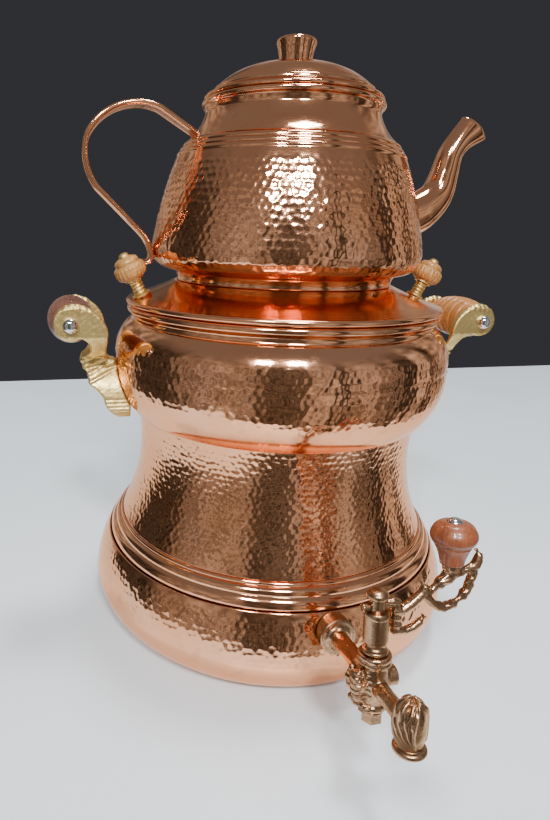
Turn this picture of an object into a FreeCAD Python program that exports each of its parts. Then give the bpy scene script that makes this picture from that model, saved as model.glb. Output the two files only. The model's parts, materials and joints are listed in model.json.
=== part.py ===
import FreeCAD, Part
import math
import os
from collections import namedtuple

import Sketcher

# A stovetop samovar: a copper vessel made of a belly, a beaded ring, a waist and a bowl, a lid that
# carries a teapot, two side handles and a plug tap. Millimetres. The origin is the centre of the
# flat rest face, +Z is up, the tap points to -Y, the teapot's spout to +X and its handle to -X.

SIZES = {
    # Copper sheet of the vessel, of the lids and of the teapot, the gap where one rests on another,
    # and the small flat at the tip of each domed end
    "vessel_wall": 1.5,
    "lid_wall": 1.3,
    "pot_wall": 1.3,
    "rest_gap": 0.3,
    "tip_flat": 0.4,
    # Belly: flat foot with a round floor soldered in, widest place and shoulder
    "foot_radius": 105.0,
    "floor_ledge": 3.0,
    "belly_radius": 140.0,
    "belly_height": 33.0,
    "belly_lower_swell": 0.7,
    "shoulder_radius": 129.4,
    "shoulder_height": 66.7,
    "belly_upper_swell": 0.6,
    # Ring between belly and waist: a step, two broad beads and a thin one
    "bead_start_radius": 128.0,
    "bead_valley_radius": 123.8,
    "bead_valley_height": 74.2,
    "bead_top_radius": 120.0,
    "bead_top_height": 79.4,
    "bead_bulge": 1.3,
    "thin_bead_bulge": 0.8,
    # Waist, hammered, widening downwards
    "waist_foot_radius": 118.4,
    "waist_foot_height": 82.0,
    "waist_radius": 103.0,
    "waist_height": 144.0,
    "waist_hollow": 0.62,
    "seam_radius": 105.0,
    "seam_height": 165.0,
    "seam_hollow": 0.3,
    # Bowl with its neck and rolled rim
    "bowl_foot_radius": 108.2,
    "bowl_radius": 120.6,
    "bowl_height": 205.0,
    "bowl_swell": 0.68,
    "bowl_side_drop": 0.231,
    "neck_radius": 109.4,
    "neck_height": 231.5,
    "rim_height": 241.0,
    "rim_roll": 2.7,
    # Lid of the vessel: shallow cone with a round opening for the teapot's foot
    "lid_roll": 2.0,
    "lid_overhang": 0.6,
    "lid_open_radius": 73.0,
    "lid_land": 5.5,
    "lid_rise": 12.2,
    "lid_hollow": 0.44,
    "collar_depth": 9.0,
    "collar_play": 0.6,
    "steam_hole_radius": 2.2,
    "steam_hole_reach": 82.5,
    "steam_hole_turn": -66.0,
    # Knobs of the vessel's lid: wooden acorn on a turned brass stem with an oval plate
    "knob_reach": 103.5,
    "knob_turn": 6.0,
    "knob_lean": 25.0,
    "plate_radius": 6.5,
    "plate_thickness": 1.2,
    "stem_radius": 3.4,
    "stem_ring_bulge": 0.9,
    "stem_flange": 6.2,
    "stem_length": 12.0,
    "stem_tail_radius": 2.0,
    "knob_radius": 10.5,
    "knob_length": 15.0,
    "knob_base_radius": 6.0,
    "knob_cap_radius": 3.6,
    "knob_cap_height": 2.6,
    "under_nut_radius": 4.4,
    "under_nut_height": 3.2,
    "bolt_play": 0.1,
    # Teapot: foot with spigot, belly, shoulder with ridges, neck and mouth
    "spigot_play": 0.7,
    "spigot_depth": 6.0,
    "pot_foot_radius": 76.3,
    "pot_foot_top": 80.0,
    "foot_rise": 7.7,
    "foot_hollow": 0.3,
    "pot_base_radius": 82.0,
    "pot_radius": 94.3,
    "pot_belly_rise": 15.0,
    "pot_corner": 0.72,
    "ridge_radius": 77.2,
    "ridge_rise": 71.8,
    "pot_swell": 0.4,
    "ridge_run": 2.1,
    "ridge_bulge": 0.7,
    "throat_radius": 58.0,
    "throat_rise": 99.0,
    "shoulder_hollow": 0.58,
    "mouth_radius": 58.9,
    "mouth_rise": 106.0,
    "mouth_roll": 1.7,
    # Teapot's spout: a swan neck through round sections to an oval mouth cut on the slant
    "spout_wall": 1.3,
    "spout_root_reach": 79.0,
    "spout_root_rise": 38.0,
    "spout_root_radius": 18.5,
    "spout_mouth_reach": 139.8,
    "spout_mouth_rise": 100.8,
    "spout_mouth_length": 12.0,
    "spout_mouth_width": 7.5,
    "spout_mouth_pitch": 55.0,
    "spout_hole_radius": 11.0,
    # Teapot's strap handle
    "strap_width": 16.0,
    "strap_thickness": 2.2,
    # Teapot's lid: stepped rim, dome, flange and a flared knob
    "cover_roll": 1.4,
    "cover_inset": 1.4,
    "cover_step_radius": 53.6,
    "cover_step_rise": 4.8,
    "dome_foot_radius": 51.6,
    "dome_foot_rise": 7.6,
    "dome_height": 20.6,
    "dome_swell": 0.67,
    "cover_flange_depth": 8.0,
    "cover_flange_play": 0.6,
    "top_knob_radius": 12.9,
    "top_knob_waist": 10.8,
    "top_knob_foot": 11.8,
    "top_knob_foot_height": 2.4,
    "top_knob_edge": 2.7,
    "top_knob_height": 17.0,
    "top_screw_radius": 2.0,
    "top_screw_head": 4.2,
    "top_screw_head_height": 2.0,
    # Side handles: cast fork with a shell foot, turned grip, rod and dome nuts
    "grip_stand_off": 30.4,
    "grip_lift": 26.5,
    "grip_length": 48.0,
    "grip_end_radius": 11.5,
    "grip_radius": 15.4,
    "grip_swell": 0.78,
    "grip_play": 0.3,
    "rod_radius": 2.5,
    "rod_fit": 0.05,
    "eye_radius": 11.0,
    "arm_thickness": 6.0,
    "fork_neck_half": 7.0,
    "shell_half": 18.5,
    "shell_drop": 41.5,
    "dome_nut_radius": 5.0,
    "dome_nut_height": 5.6,
    "washer_radius": 6.2,
    "washer_thickness": 0.9,
    "bracket_screw_radius": 2.0,
    "bracket_screw_head": 4.0,
    "bracket_screw_share": 0.625,
    "bracket_screw_half_pitch": 7.0,
    "bracket_screw_set": 2.2,
    "bracket_screw_length": 10.0,
    # Tap: pipe tilted up a little, escutcheon and fixings on the belly
    "tap_height": 62.6,
    "tap_reach": 184.0,
    "tap_tilt": 8.0,
    "pipe_radius": 5.2,
    "pipe_bore": 3.8,
    "pipe_tail": 3.0,
    "escutcheon_radius": 11.6,
    "escutcheon_thickness": 4.0,
    "escutcheon_skirt": 14.0,
    "escutcheon_inset": 0.6,
    "gasket_thickness": 1.2,
    "gasket_radius": 10.4,
    "wedge_run": 10.6,
    "lock_nut_radius": 9.2,
    "lock_nut_thickness": 4.5,
    "tap_hole_play": 0.4,
    # Tap body and nozzle, in distances from the valve's middle
    "socket_radius": 7.2,
    "socket_length": 13.0,
    "barrel_radius": 8.2,
    "barrel_low_radius": 7.6,
    "barrel_bottom": 15.0,
    "barrel_top": 11.0,
    "barrel_lip": 3.0,
    "barrel_groove": 1.2,
    "edge_step": 0.7,
    "collar_radius": 9.2,
    "collar_height": 6.3,
    "boss_radius": 5.5,
    "boss_reach": 12.5,
    "boss_rise": 2.0,
    "outlet_radius": 4.6,
    "outlet_bore": 3.0,
    "nozzle_reach": 36.0,
    "nozzle_radius": 11.0,
    "nozzle_top": 12.0,
    "nozzle_wide_rise": 1.0,
    "nozzle_neck_radius": 6.4,
    "nozzle_neck_drop": 8.0,
    "nozzle_lip_radius": 8.4,
    "nozzle_drop": 13.0,
    "nozzle_bore": 4.6,
    "nozzle_lip_edge": 1.0,
    # Key of the tap: tapered plug, column, tail with spring washer, washer and nut
    "plug_top_radius": 5.6,
    "plug_bottom_radius": 4.4,
    "plug_play": 0.05,
    "water_way": 2.9,
    "column_radius": 6.7,
    "column_waist": 4.3,
    "column_bead": 2.6,
    "column_step": 1.0,
    "column_cove": 4.4,
    "column_hollow": 2.2,
    "column_shaft": 13.7,
    "column_ring": 3.4,
    "column_neck": 6.4,
    "crown_radius": 5.8,
    "crown_height": 5.5,
    "tail_radius": 2.4,
    "spring_radius": 5.4,
    "spring_height": 1.6,
    "key_washer_thickness": 0.8,
    "key_nut_radius": 6.0,
    "key_nut_height": 5.6,
    # Lever of the key and its knob
    "lever_thickness": 5.0,
    "lever_bar": 4.5,
    "lever_hook": 3.2,
    "lever_pin_radius": 1.5,
    "lever_pin_rise": 43.7,
    "lever_pin_head": 2.3,
    "lever_boss_radius": 5.0,
    "lever_boss_height": 6.0,
    "knob_arm_reach": 43.0,
    "knob_arm_rise": 63.2,
    "tap_knob_radius": 11.9,
    "tap_knob_height": 23.5,
    "tap_knob_foot": 6.2,
    "tap_screw_radius": 2.0,
    "tap_screw_head": 4.2,
    "tap_screw_head_height": 1.8,
}

doc = FreeCAD.newDocument("samovar")
sheet = doc.addObject("Spreadsheet::Sheet", "Sizes")
for row, (alias, number) in enumerate(SIZES.items(), start=1):
    sheet.set("A%d" % row, alias)
    sheet.set("B%d" % row, str(number))
    sheet.setAlias("B%d" % row, alias)
doc.recompute()

SLANT = math.sqrt(0.5)
FULL_TURN = 360.0


class Size:
    """A length or an angle with the sheet expression that it follows."""

    def __init__(self, number, text):
        self.number = number
        self.text = text

    def __add__(self, other):
        return Size(self.number + plain(other), "(%s + %s)" % (self.text, spelled(other)))

    def __sub__(self, other):
        return Size(self.number - plain(other), "(%s - %s)" % (self.text, spelled(other)))

    def __mul__(self, other):
        return Size(self.number * plain(other), "(%s * %s)" % (self.text, spelled(other)))

    def __truediv__(self, other):
        return Size(self.number / plain(other), "(%s / %s)" % (self.text, spelled(other)))

    def __radd__(self, other):
        return Size(other + self.number, "(%s + %s)" % (spelled(other), self.text))

    def __rsub__(self, other):
        return Size(other - self.number, "(%s - %s)" % (spelled(other), self.text))

    def __rmul__(self, other):
        return Size(other * self.number, "(%s * %s)" % (spelled(other), self.text))

    def __neg__(self):
        return Size(-self.number, "(0 - %s)" % self.text)


def plain(size):
    return size.number if isinstance(size, Size) else float(size)


def spelled(size):
    return size.text if isinstance(size, Size) else repr(float(size))


def sine(angle):
    return Size(math.sin(math.radians(angle.number)), "sin(%s)" % angle.text)


def cosine(angle):
    return Size(math.cos(math.radians(angle.number)), "cos(%s)" % angle.text)


class Sheet:
    """Every alias of the sheet as an attribute."""


at = Sheet()
for alias in SIZES:
    setattr(at, alias, Size(float(sheet.get(alias)), "Sizes." + alias))

# Outlines: each step ends at a point, by a straight run or by an arc through a second point
Step = namedtuple("Step", "via end")


def line(*end):
    return Step(None, end)


def arc(via, end):
    return Step(via, end)


def part_way(start, end, across_share, up_share):
    """The point that lies the given shares of the way across and up from start to end."""
    across = start[0] + (end[0] - start[0]) * across_share
    up = start[1] + (end[1] - start[1]) * up_share
    return across, up


def inset(point, thickness):
    """Step back from a point (across, up, out, rise) against its outward direction (out, rise)."""
    across, up, out, rise = point
    return across - out * thickness, up - rise * thickness


def skin(steps, thickness, edge=()):
    """Close a run of steps into a sheet: over its edge and back along its other side."""
    outline = list(steps) + list(edge)
    outline.append(line(*inset(steps[-1].end, thickness)))
    for step, before in zip(reversed(steps[1:]), reversed(steps[:-1])):
        end = inset(before.end, thickness)
        outline.append(line(*end) if step.via is None else arc(inset(step.via, thickness), end))
    return outline


def bead(start, end, bulge):
    """A round bead from start to end that bulges outwards and upwards."""
    across, up = part_way(start, end, 0.5, 0.5)
    return arc((across + bulge * SLANT, up + bulge * SLANT, SLANT, SLANT), end)


def facing(point, out, rise):
    """A point of a sheet with the direction in which its outer side faces."""
    return point[0], point[1], out, rise


def bind(item, name, size):
    """Set a property to a size and keep it tied to the sheet."""
    if isinstance(size, Size):
        item.setExpression(name, size.text)
    else:
        setattr(item, name, size)


def spot(point):
    return FreeCAD.Vector(plain(point[0]), plain(point[1]), 0)


def hold(sketch, edge, end, point):
    """Tie one point of a sketch to its two distances from the sketch's origin."""
    for kind, size in (("DistanceX", point[0]), ("DistanceY", point[1])):
        index = sketch.addConstraint(Sketcher.Constraint(kind, -1, 1, edge, end, plain(size)))
        if isinstance(size, Size):
            sketch.setExpression("Constraints[%d]" % index, size.text)


def draw(sketch, outline):
    """Draw a closed outline whose corners and arcs are all held by the sheet."""
    edges = []
    for before, step in zip([outline[-1]] + outline[:-1], outline):
        start = spot(before.end)
        end = spot(step.end)
        ends = (1, 2)
        if step.via is None:
            edge = sketch.addGeometry(Part.LineSegment(start, end), False)
        else:
            middle = spot(step.via)
            edge = sketch.addGeometry(Part.Arc(start, middle, end), False)
            mark = sketch.addGeometry(Part.Point(middle), True)
            hold(sketch, mark, 1, step.via)
            sketch.addConstraint(Sketcher.Constraint("PointOnObject", mark, 1, edge))
            if (middle - start).cross(end - middle).z < 0:
                ends = (2, 1)
        hold(sketch, edge, ends[1], step.end)
        edges.append((edge, ends))
    for (edge, ends), (after, after_ends) in zip(edges, edges[1:] + edges[:1]):
        sketch.addConstraint(Sketcher.Constraint("Coincident", edge, ends[1], after, after_ends[0]))


def draw_circle(sketch, centre, radius):
    """Draw a circle whose centre and radius are held by the sheet."""
    edge = sketch.addGeometry(Part.Circle(spot(centre), FreeCAD.Vector(0, 0, 1), plain(radius)), False)
    hold(sketch, edge, 3, centre)
    index = sketch.addConstraint(Sketcher.Constraint("Radius", edge, plain(radius)))
    bind(sketch, "Constraints[%d]" % index, radius)


def sketch_on(body, plane, offset=0.0):
    """Start a sketch on one of the body's own planes, moved along its normal."""
    sketch = body.newObject("Sketcher::SketchObject", body.Label + "_sketch")
    own_plane = [feature for feature in body.Origin.OriginFeatures if feature.Role == plane][0]
    sketch.AttachmentSupport = [(own_plane, "")]
    sketch.MapMode = "FlatFace"
    sketch.AttachmentOffset = FreeCAD.Placement(FreeCAD.Vector(0, 0, plain(offset)), FreeCAD.Rotation())
    if isinstance(offset, Size):
        sketch.setExpression("AttachmentOffset.Base.z", offset.text)
    return sketch


def new_body(label):
    return doc.addObject("PartDesign::Body", label)


def turned(label, outline):
    """A piece turned round its own Z axis from an outline of (radius, height) points."""
    body = new_body(label)
    turn(body, outline)
    return body


def turn(body, outline, cut=False):
    """Turn an outline round the body's Z axis, as a solid or as a cut."""
    sketch = sketch_on(body, "XZ_Plane")
    draw(sketch, outline)
    kind = "PartDesign::Groove" if cut else "PartDesign::Revolution"
    feature = body.newObject(kind, body.Label + ("_groove" if cut else "_turning"))
    feature.Profile = sketch
    feature.ReferenceAxis = (sketch, ["V_Axis"])
    feature.Angle = FULL_TURN
    sketch.Visibility = False


def pad(body, plane, drawings, length, **where):
    """Add the prism of some drawings, each an outline or a (centre, radius) circle."""
    return prism(body, "PartDesign::Pad", plane, drawings, length, **where)


def pocket(body, plane, drawings, length, **where):
    """Cut the prism of some drawings out of the body."""
    return prism(body, "PartDesign::Pocket", plane, drawings, length, **where)


def prism(body, kind, plane, drawings, length, offset=0.0, middle=False, reverse=False):
    sketch = sketch_on(body, plane, offset)
    for drawing in drawings:
        if len(drawing) == 2 and not isinstance(drawing[0], Step):
            draw_circle(sketch, drawing[0], drawing[1])
        else:
            draw(sketch, drawing)
    feature = body.newObject(kind, body.Label + "_prism")
    feature.Profile = sketch
    feature.Midplane = middle
    feature.Reversed = reverse
    bind(feature, "Length", length)
    sketch.Visibility = False


def stand(piece, across=0.0, along=0.0, up=0.0, axis=(0, 0, 1), angle=0.0):
    """Put a piece in its place, turned round one axis through its own origin."""
    base = FreeCAD.Vector(plain(across), plain(along), plain(up))
    piece.Placement = FreeCAD.Placement(base, FreeCAD.Rotation(FreeCAD.Vector(*axis), plain(angle)))
    for name, size in (("x", across), ("y", along), ("z", up)):
        if isinstance(size, Size):
            piece.setExpression("Placement.Base." + name, size.text)
    if isinstance(angle, Size):
        piece.setExpression("Placement.Rotation.Angle", angle.text)
    return piece


def boolean(kind, label, base, tool):
    """Cut, fuse or keep the common part of two objects, as an object of its own."""
    result = doc.addObject(kind, label)
    result.Base = base
    result.Tool = tool
    return result


def cut(label, base, tool):
    return boolean("Part::Cut", label, base, tool)


def group(label, pieces):
    """Several separate solids that share one node, such as a set of like fasteners."""
    result = doc.addObject("Part::Compound", label)
    result.Links = pieces
    return result


nodes = {}


def keep(piece, name=None):
    """Count a piece among the nodes that are written out."""
    nodes[name or piece.Label] = piece
    return piece


def turned_sheet(label, steps, thickness, edge=()):
    """A sheet piece turned round its own Z axis."""
    return turned(label, skin(steps, thickness, edge))


def cylinder(label, radius, height, **place):
    """A plain cylinder that stands on its own origin, then put in its place."""
    piece = doc.addObject("Part::Cylinder", label)
    bind(piece, "Radius", radius)
    bind(piece, "Height", height)
    return stand(piece, **place)


def tube(label, radius, bore, height):
    """A round ring or washer that stands on its own origin."""
    return turned(label, [line(bore, 0.0), line(radius, 0.0), line(radius, height), line(bore, height)])


def hexagon(centre_across, centre_up, radius):
    """The outline of a hexagon with one pair of corners on the across axis."""
    corners = []
    for turn_angle in range(0, 360, 60):
        across = centre_across + radius * math.cos(math.radians(turn_angle))
        up = centre_up + radius * math.sin(math.radians(turn_angle))
        corners.append(line(across, up))
    return corners


def common(label, base, tool):
    return boolean("Part::Common", label, base, tool)


# Facing directions for the two sides of a sheet
OUT = (1, 0)
DOWN = (0, -1)
OUT_UP = (SLANT, SLANT)
OUT_DOWN = (SLANT, -SLANT)

# Turns that lay a piece's own Z axis along -Y (to the tap), +Y or +X
TO_TAP = {"axis": (1, 0, 0), "angle": 90.0}
TO_BACK = {"axis": (-1, 0, 0), "angle": 90.0}
TO_RIGHT = {"axis": (0, 1, 0), "angle": 90.0}

# Levels that several pieces share
screw_level = at.seam_height + (at.bowl_height - at.seam_height) * at.bracket_screw_share
lid_base = at.rim_height + at.rest_gap
lid_rim_radius = at.neck_radius + at.rim_roll + at.lid_overhang
lid_bead_middle = lid_rim_radius - at.lid_roll
cone_foot = lid_base + 2 * at.lid_roll
cone_top_radius = at.lid_open_radius + at.lid_land
open_height = cone_foot + at.lid_rise
pot_floor = open_height + at.rest_gap + at.foot_rise
cover_seat = pot_floor + at.mouth_rise + at.rest_gap


# The tap's own frame: its middle is the valve's, it leans back by the tilt, and "along" runs from
# the valve back to the vessel, "up" along the key
tilt_out = sine(at.tap_tilt)
tilt_up = cosine(at.tap_tilt)
LIE = {"upright": (-1, 0), "forward": (1, 90), "back": (-1, 90)}


def tap_place(across=0.0, along=0.0, up=0.0, lie="upright"):
    """Where a piece of the tap stands, and whether its own axis lies upright, forward or back."""
    turn_side, quarter = LIE[lie]
    return {
        "across": across,
        "along": tilt_up * along + tilt_out * up - at.tap_reach,
        "up": at.tap_height - tilt_out * along + tilt_up * up,
        "axis": (turn_side, 0, 0),
        "angle": quarter - turn_side * at.tap_tilt,
    }


# Vessel: every sheet meets the next one on a level plane
def belly_steps(inner_radius):
    """The belly's outer side, from the given radius on its rest face up to the shoulder."""
    foot = (at.foot_radius, 0.0)
    widest = (at.belly_radius, at.belly_height)
    shoulder = (at.shoulder_radius, at.shoulder_height)
    low = part_way(foot, widest, at.belly_lower_swell, 1 - at.belly_lower_swell)
    high = part_way(widest, shoulder, 1 - at.belly_upper_swell, at.belly_upper_swell)
    return [
        line(inner_radius, 0.0, *DOWN),
        line(*foot, 0.4, -1),
        arc(facing(low, 0.75, -0.66), facing(widest, *OUT)),
        arc(facing(high, 1, 0.25), facing(shoulder, *OUT)),
    ]


def belly_form(label, growth):
    """The closed solid inside the belly's outer side, moved outwards by the growth."""
    steps = [Step(None if step.via is None else inset(step.via, -1 * growth), inset(step.end, -1 * growth))
             for step in belly_steps(0.0)]
    top = steps[-1].end[1]
    return turned(label, steps + [line(0.0, top)])


def bowl_steps():
    foot = (at.bowl_foot_radius, at.seam_height)
    widest = (at.bowl_radius, at.bowl_height)
    neck = (at.neck_radius, at.neck_height)
    side = (at.bowl_radius - at.bowl_side_drop, screw_level)
    high = part_way(widest, neck, 1 - at.bowl_swell, at.bowl_swell)
    return [
        line(*foot, *OUT),
        arc(facing(side, *OUT), facing(widest, *OUT)),
        arc(facing(high, 1, 0.25), facing(neck, *OUT)),
    ]


floor_radius = at.foot_radius - at.floor_ledge
keep(cylinder("base_floor", floor_radius, at.vessel_wall))
base_shell = turned_sheet("base_shell", belly_steps(floor_radius), at.vessel_wall)
tap_hole = cylinder("tap_hole", at.pipe_radius + at.tap_hole_play, at.tap_reach)
stand(tap_hole, **tap_place(along=at.tap_reach, lie="forward"))
keep(cut("base_pan", base_shell, tap_hole))

bead_foot = (at.bead_start_radius, at.shoulder_height)
bead_valley = (at.bead_valley_radius, at.bead_valley_height)
bead_top = (at.bead_top_radius, at.bead_top_height)
waist_foot = (at.waist_foot_radius, at.waist_foot_height)
keep(turned_sheet("bead_ring", [
    line(*bead_foot, *OUT),
    bead(bead_foot, facing(bead_valley, *OUT), at.bead_bulge),
    bead(bead_valley, facing(bead_top, *OUT), at.bead_bulge),
    bead(bead_top, facing(waist_foot, *OUT), at.thin_bead_bulge),
], at.vessel_wall))

waist = (at.waist_radius, at.waist_height)
seam = (at.seam_radius, at.seam_height)
keep(turned_sheet("waist_shell", [
    line(*waist_foot, *OUT),
    arc(facing(part_way(waist_foot, waist, at.waist_hollow, 1 - at.waist_hollow), *OUT),
        facing(waist, *OUT)),
    arc(facing(part_way(waist, seam, at.seam_hollow, 0.5), *OUT), facing(seam, *OUT)),
], at.vessel_wall))

rim_foot = at.rim_height - 2 * at.rim_roll
bowl_shell = turned("bowl_shell", skin(
    [line(at.seam_radius - at.vessel_wall, at.seam_height, *DOWN)]
    + [line(at.bowl_foot_radius, at.seam_height, *OUT_DOWN)]
    + bowl_steps()[1:]
    + [line(at.neck_radius, rim_foot, *OUT)],
    at.vessel_wall,
    edge=[
        arc((at.neck_radius + at.rim_roll, at.rim_height - at.rim_roll), (at.neck_radius, at.rim_height)),
        line(at.neck_radius - at.vessel_wall, at.rim_height),
    ]))
bowl_form = turned("bowl_form", bowl_steps() + [
    line(0.0, at.neck_height),
    line(0.0, at.seam_height),
])

# Lid of the vessel
cone_top = (cone_top_radius, open_height)
cone_low = (lid_bead_middle, cone_foot)
cone_half = part_way(cone_low, cone_top, 0.5, at.lid_hollow)
cone_under = (lid_bead_middle - at.lid_wall, cone_foot - at.lid_wall)
collar_inner = at.neck_radius - at.vessel_wall - at.collar_play - at.lid_wall
edge_roll = at.lid_wall / 2
lid_shell = turned("lid_shell", [
    line(collar_inner, lid_base),
    line(lid_bead_middle, lid_base),
    arc((lid_rim_radius, lid_base + at.lid_roll), cone_low),
    arc(cone_half, cone_top),
    line(at.lid_open_radius + edge_roll, open_height),
    arc((at.lid_open_radius, open_height - edge_roll),
        (at.lid_open_radius + edge_roll, open_height - at.lid_wall)),
    line(cone_top_radius - edge_roll, open_height - at.lid_wall),
    arc((cone_half[0] - edge_roll, cone_half[1] - at.lid_wall), cone_under),
    line(cone_under[0], lid_base + at.lid_wall),
    line(collar_inner, lid_base + at.lid_wall),
])
lid_form = turned("lid_form", [
    line(0.0, lid_base),
    line(lid_bead_middle, lid_base),
    line(*cone_low),
    arc(cone_half, cone_top),
    line(0.0, open_height),
])
keep(tube("collar_flange", collar_inner + at.lid_wall, collar_inner, at.collar_depth))
stand(nodes["collar_flange"], up=lid_base - at.collar_depth)

# Knobs of the lid: both stand on the cone, whose outer side is close to a parabola, lean outwards
# and stand a little to the tap's side of the X axis
cone_run = lid_bead_middle - cone_top_radius
knob_share = (lid_bead_middle - at.knob_reach) / cone_run
cone_bow = 2 - 4 * at.lid_hollow
knob_foot = cone_foot + at.lid_rise * knob_share * (1 - cone_bow * (1 - knob_share))
lean_out = sine(at.knob_lean)
lean_up = cosine(at.knob_lean)
toward_side = cosine(at.knob_turn)
toward_tap = sine(at.knob_turn)


def lid_knob_place(side, along):
    """Where a piece of a knob stands: the given way along the knob's leaning axis."""
    reach = at.knob_reach + lean_out * along
    return {
        "across": side * reach * toward_side,
        "along": -1 * reach * toward_tap,
        "up": knob_foot + lean_up * along,
        "axis": (toward_tap.number, side * toward_side.number, 0),
        "angle": at.knob_lean,
    }


def along_knob(name, piece, side, along):
    return keep(stand(piece, **lid_knob_place(side, along)), name)


SIDES = (("left", -1), ("right", 1))
STEM_RINGS = 4
nut_drop = 2 * at.lid_wall + at.rest_gap + at.under_nut_height
tail_bottom = nut_drop + at.stem_tail_radius
knob_top = at.plate_thickness + at.stem_length + at.knob_length
tail_holes = []
knob_nuts = []
knob_caps = []
for side_name, side in SIDES:
    hole = cylinder("tail_hole_" + side_name, at.stem_tail_radius + at.bolt_play,
                    tail_bottom + at.plate_thickness)
    stand(hole, **lid_knob_place(side, -1 * tail_bottom))
    tail_holes.append(hole)
    plate_blank = tube("plate_blank_" + side_name, at.plate_radius, at.stem_tail_radius + at.bolt_play,
                       3 * at.plate_thickness)
    stand(plate_blank, **lid_knob_place(side, -2 * at.plate_thickness))
    keep(cut("lid_knob_plate_" + side_name, plate_blank, lid_form))
    stem = at.stem_radius
    flange = at.stem_flange
    foot = at.plate_thickness
    shoulder = at.plate_thickness + at.stem_length
    low = foot + at.plate_thickness
    ring_run = (at.stem_length - 2 * at.plate_thickness) / STEM_RINGS
    spindle = [
        line(0.0, -1 * tail_bottom),
        line(at.stem_tail_radius, -1 * tail_bottom),
        line(at.stem_tail_radius, foot),
        line(flange, foot),
        line(flange, low),
        line(stem, low),
    ]
    for ring in range(STEM_RINGS):
        start = low + ring * ring_run
        spindle.append(arc((stem + at.stem_ring_bulge, start + ring_run / 2), (stem, start + ring_run)))
    spindle += [
        line(flange, shoulder - at.plate_thickness),
        line(flange, shoulder),
        line(at.stem_tail_radius, shoulder),
        line(at.stem_tail_radius, knob_top + at.knob_cap_height / 2),
        line(0.0, knob_top + at.knob_cap_height / 2),
    ]
    along_knob("lid_knob_stem_" + side_name, turned("lid_knob_stem_" + side_name, spindle), side, 0.0)
    bore = at.stem_tail_radius + at.bolt_play
    acorn = turned("lid_knob_" + side_name, [
        line(bore, 0.0),
        line(at.knob_base_radius, 0.0),
        arc((at.knob_radius * 0.93, at.knob_length * 0.28), (at.knob_radius, at.knob_length * 0.55)),
        arc((at.knob_radius * 0.8, at.knob_length * 0.86), (at.knob_cap_radius, at.knob_length)),
        line(bore, at.knob_length),
    ])
    along_knob("lid_knob_" + side_name, acorn, side, shoulder)
    cap = turned("knob_cap_" + side_name, [
        line(bore, 0.0),
        line(at.knob_cap_radius, 0.0),
        arc((at.knob_cap_radius * SLANT, at.knob_cap_height * 0.8), (at.tip_flat, at.knob_cap_height)),
        line(0.0, at.knob_cap_height),
        line(0.0, at.knob_cap_height / 2 + at.bolt_play),
        line(bore, at.knob_cap_height / 2 + at.bolt_play),
    ])
    knob_caps.append(stand(cap, **lid_knob_place(side, knob_top)))
    nut = tube("knob_nut_" + side_name, at.under_nut_radius, bore, at.under_nut_height)
    knob_nuts.append(stand(nut, **lid_knob_place(side, -1 * nut_drop)))
keep(group("lid_knob_caps", knob_caps))
keep(group("lid_knob_nuts", knob_nuts))
steam_hole = cylinder("steam_hole", at.steam_hole_radius, 2 * at.lid_rise,
                      across=at.steam_hole_reach * math.cos(math.radians(at.steam_hole_turn.number)),
                      along=at.steam_hole_reach * math.sin(math.radians(at.steam_hole_turn.number)),
                      up=lid_base)
keep(cut("collar_lid", lid_shell, group("lid_holes", tail_holes + [steam_hole])))

# Teapot: foot with a spigot, base, body, spout and strap handle, in heights above its floor
spigot_radius = at.lid_open_radius - at.spigot_play
foot_bottom = -1 * at.foot_rise
pot_foot_low = (at.pot_foot_radius, foot_bottom)
pot_foot_high = (at.pot_foot_top, 0.0)
keep(stand(turned_sheet("teapot_foot", [
    line(spigot_radius, foot_bottom - at.spigot_depth, *OUT),
    line(spigot_radius, foot_bottom, 1, -1),
    line(*pot_foot_low, 0.6, -1),
    arc(facing(part_way(pot_foot_low, pot_foot_high, at.foot_hollow, 1 - at.foot_hollow), 0.9, -0.4),
        facing(pot_foot_high, *OUT)),
], at.pot_wall), up=pot_floor))
keep(cylinder("teapot_base", at.pot_base_radius, at.pot_wall, up=pot_floor))

pot_base = (at.pot_base_radius, 0.0)
pot_belly = (at.pot_radius, at.pot_belly_rise)
ridge = (at.ridge_radius, at.ridge_rise)
pot_throat = (at.throat_radius, at.throat_rise)


def pot_steps():
    """Outer side of the teapot up to the throat, with three beads round the shoulder."""
    corner = part_way(pot_base, pot_belly, at.pot_corner, 1 - at.pot_corner)
    steps = [
        line(*pot_base, *DOWN),
        arc(facing(corner, *OUT_DOWN), facing(pot_belly, *OUT)),
        arc(facing(part_way(pot_belly, ridge, at.pot_swell, 0.5), *OUT_UP), facing(ridge, *OUT_UP)),
    ]
    start = ridge
    for ring in range(3):
        end = (start[0] - at.ridge_run, start[1] + at.ridge_run * 1.4)
        steps.append(bead(start, facing(end, *OUT_UP), at.ridge_bulge))
        start = end
    hollow = part_way(start, pot_throat, at.shoulder_hollow, 1 - at.shoulder_hollow)
    steps.append(arc(facing(hollow, *OUT_UP), facing(pot_throat, *OUT)))
    return steps


mouth_foot = at.mouth_rise - 2 * at.mouth_roll
pot_body = turned_sheet("teapot_body", pot_steps() + [line(at.mouth_radius, mouth_foot, *OUT)],
                        at.pot_wall, edge=[
    arc((at.mouth_radius + at.mouth_roll, at.mouth_rise - at.mouth_roll), (at.mouth_radius, at.mouth_rise)),
    line(at.mouth_radius - at.pot_wall, at.mouth_rise),
])
pocket(pot_body, "YZ_Plane", [((0.0, at.spout_root_rise), at.spout_hole_radius)], at.pot_radius,
       reverse=True)
keep(stand(pot_body, up=pot_floor))
pot_form = turned("pot_form", pot_steps() + [line(0.0, at.throat_rise), line(0.0, 0.0)])

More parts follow.
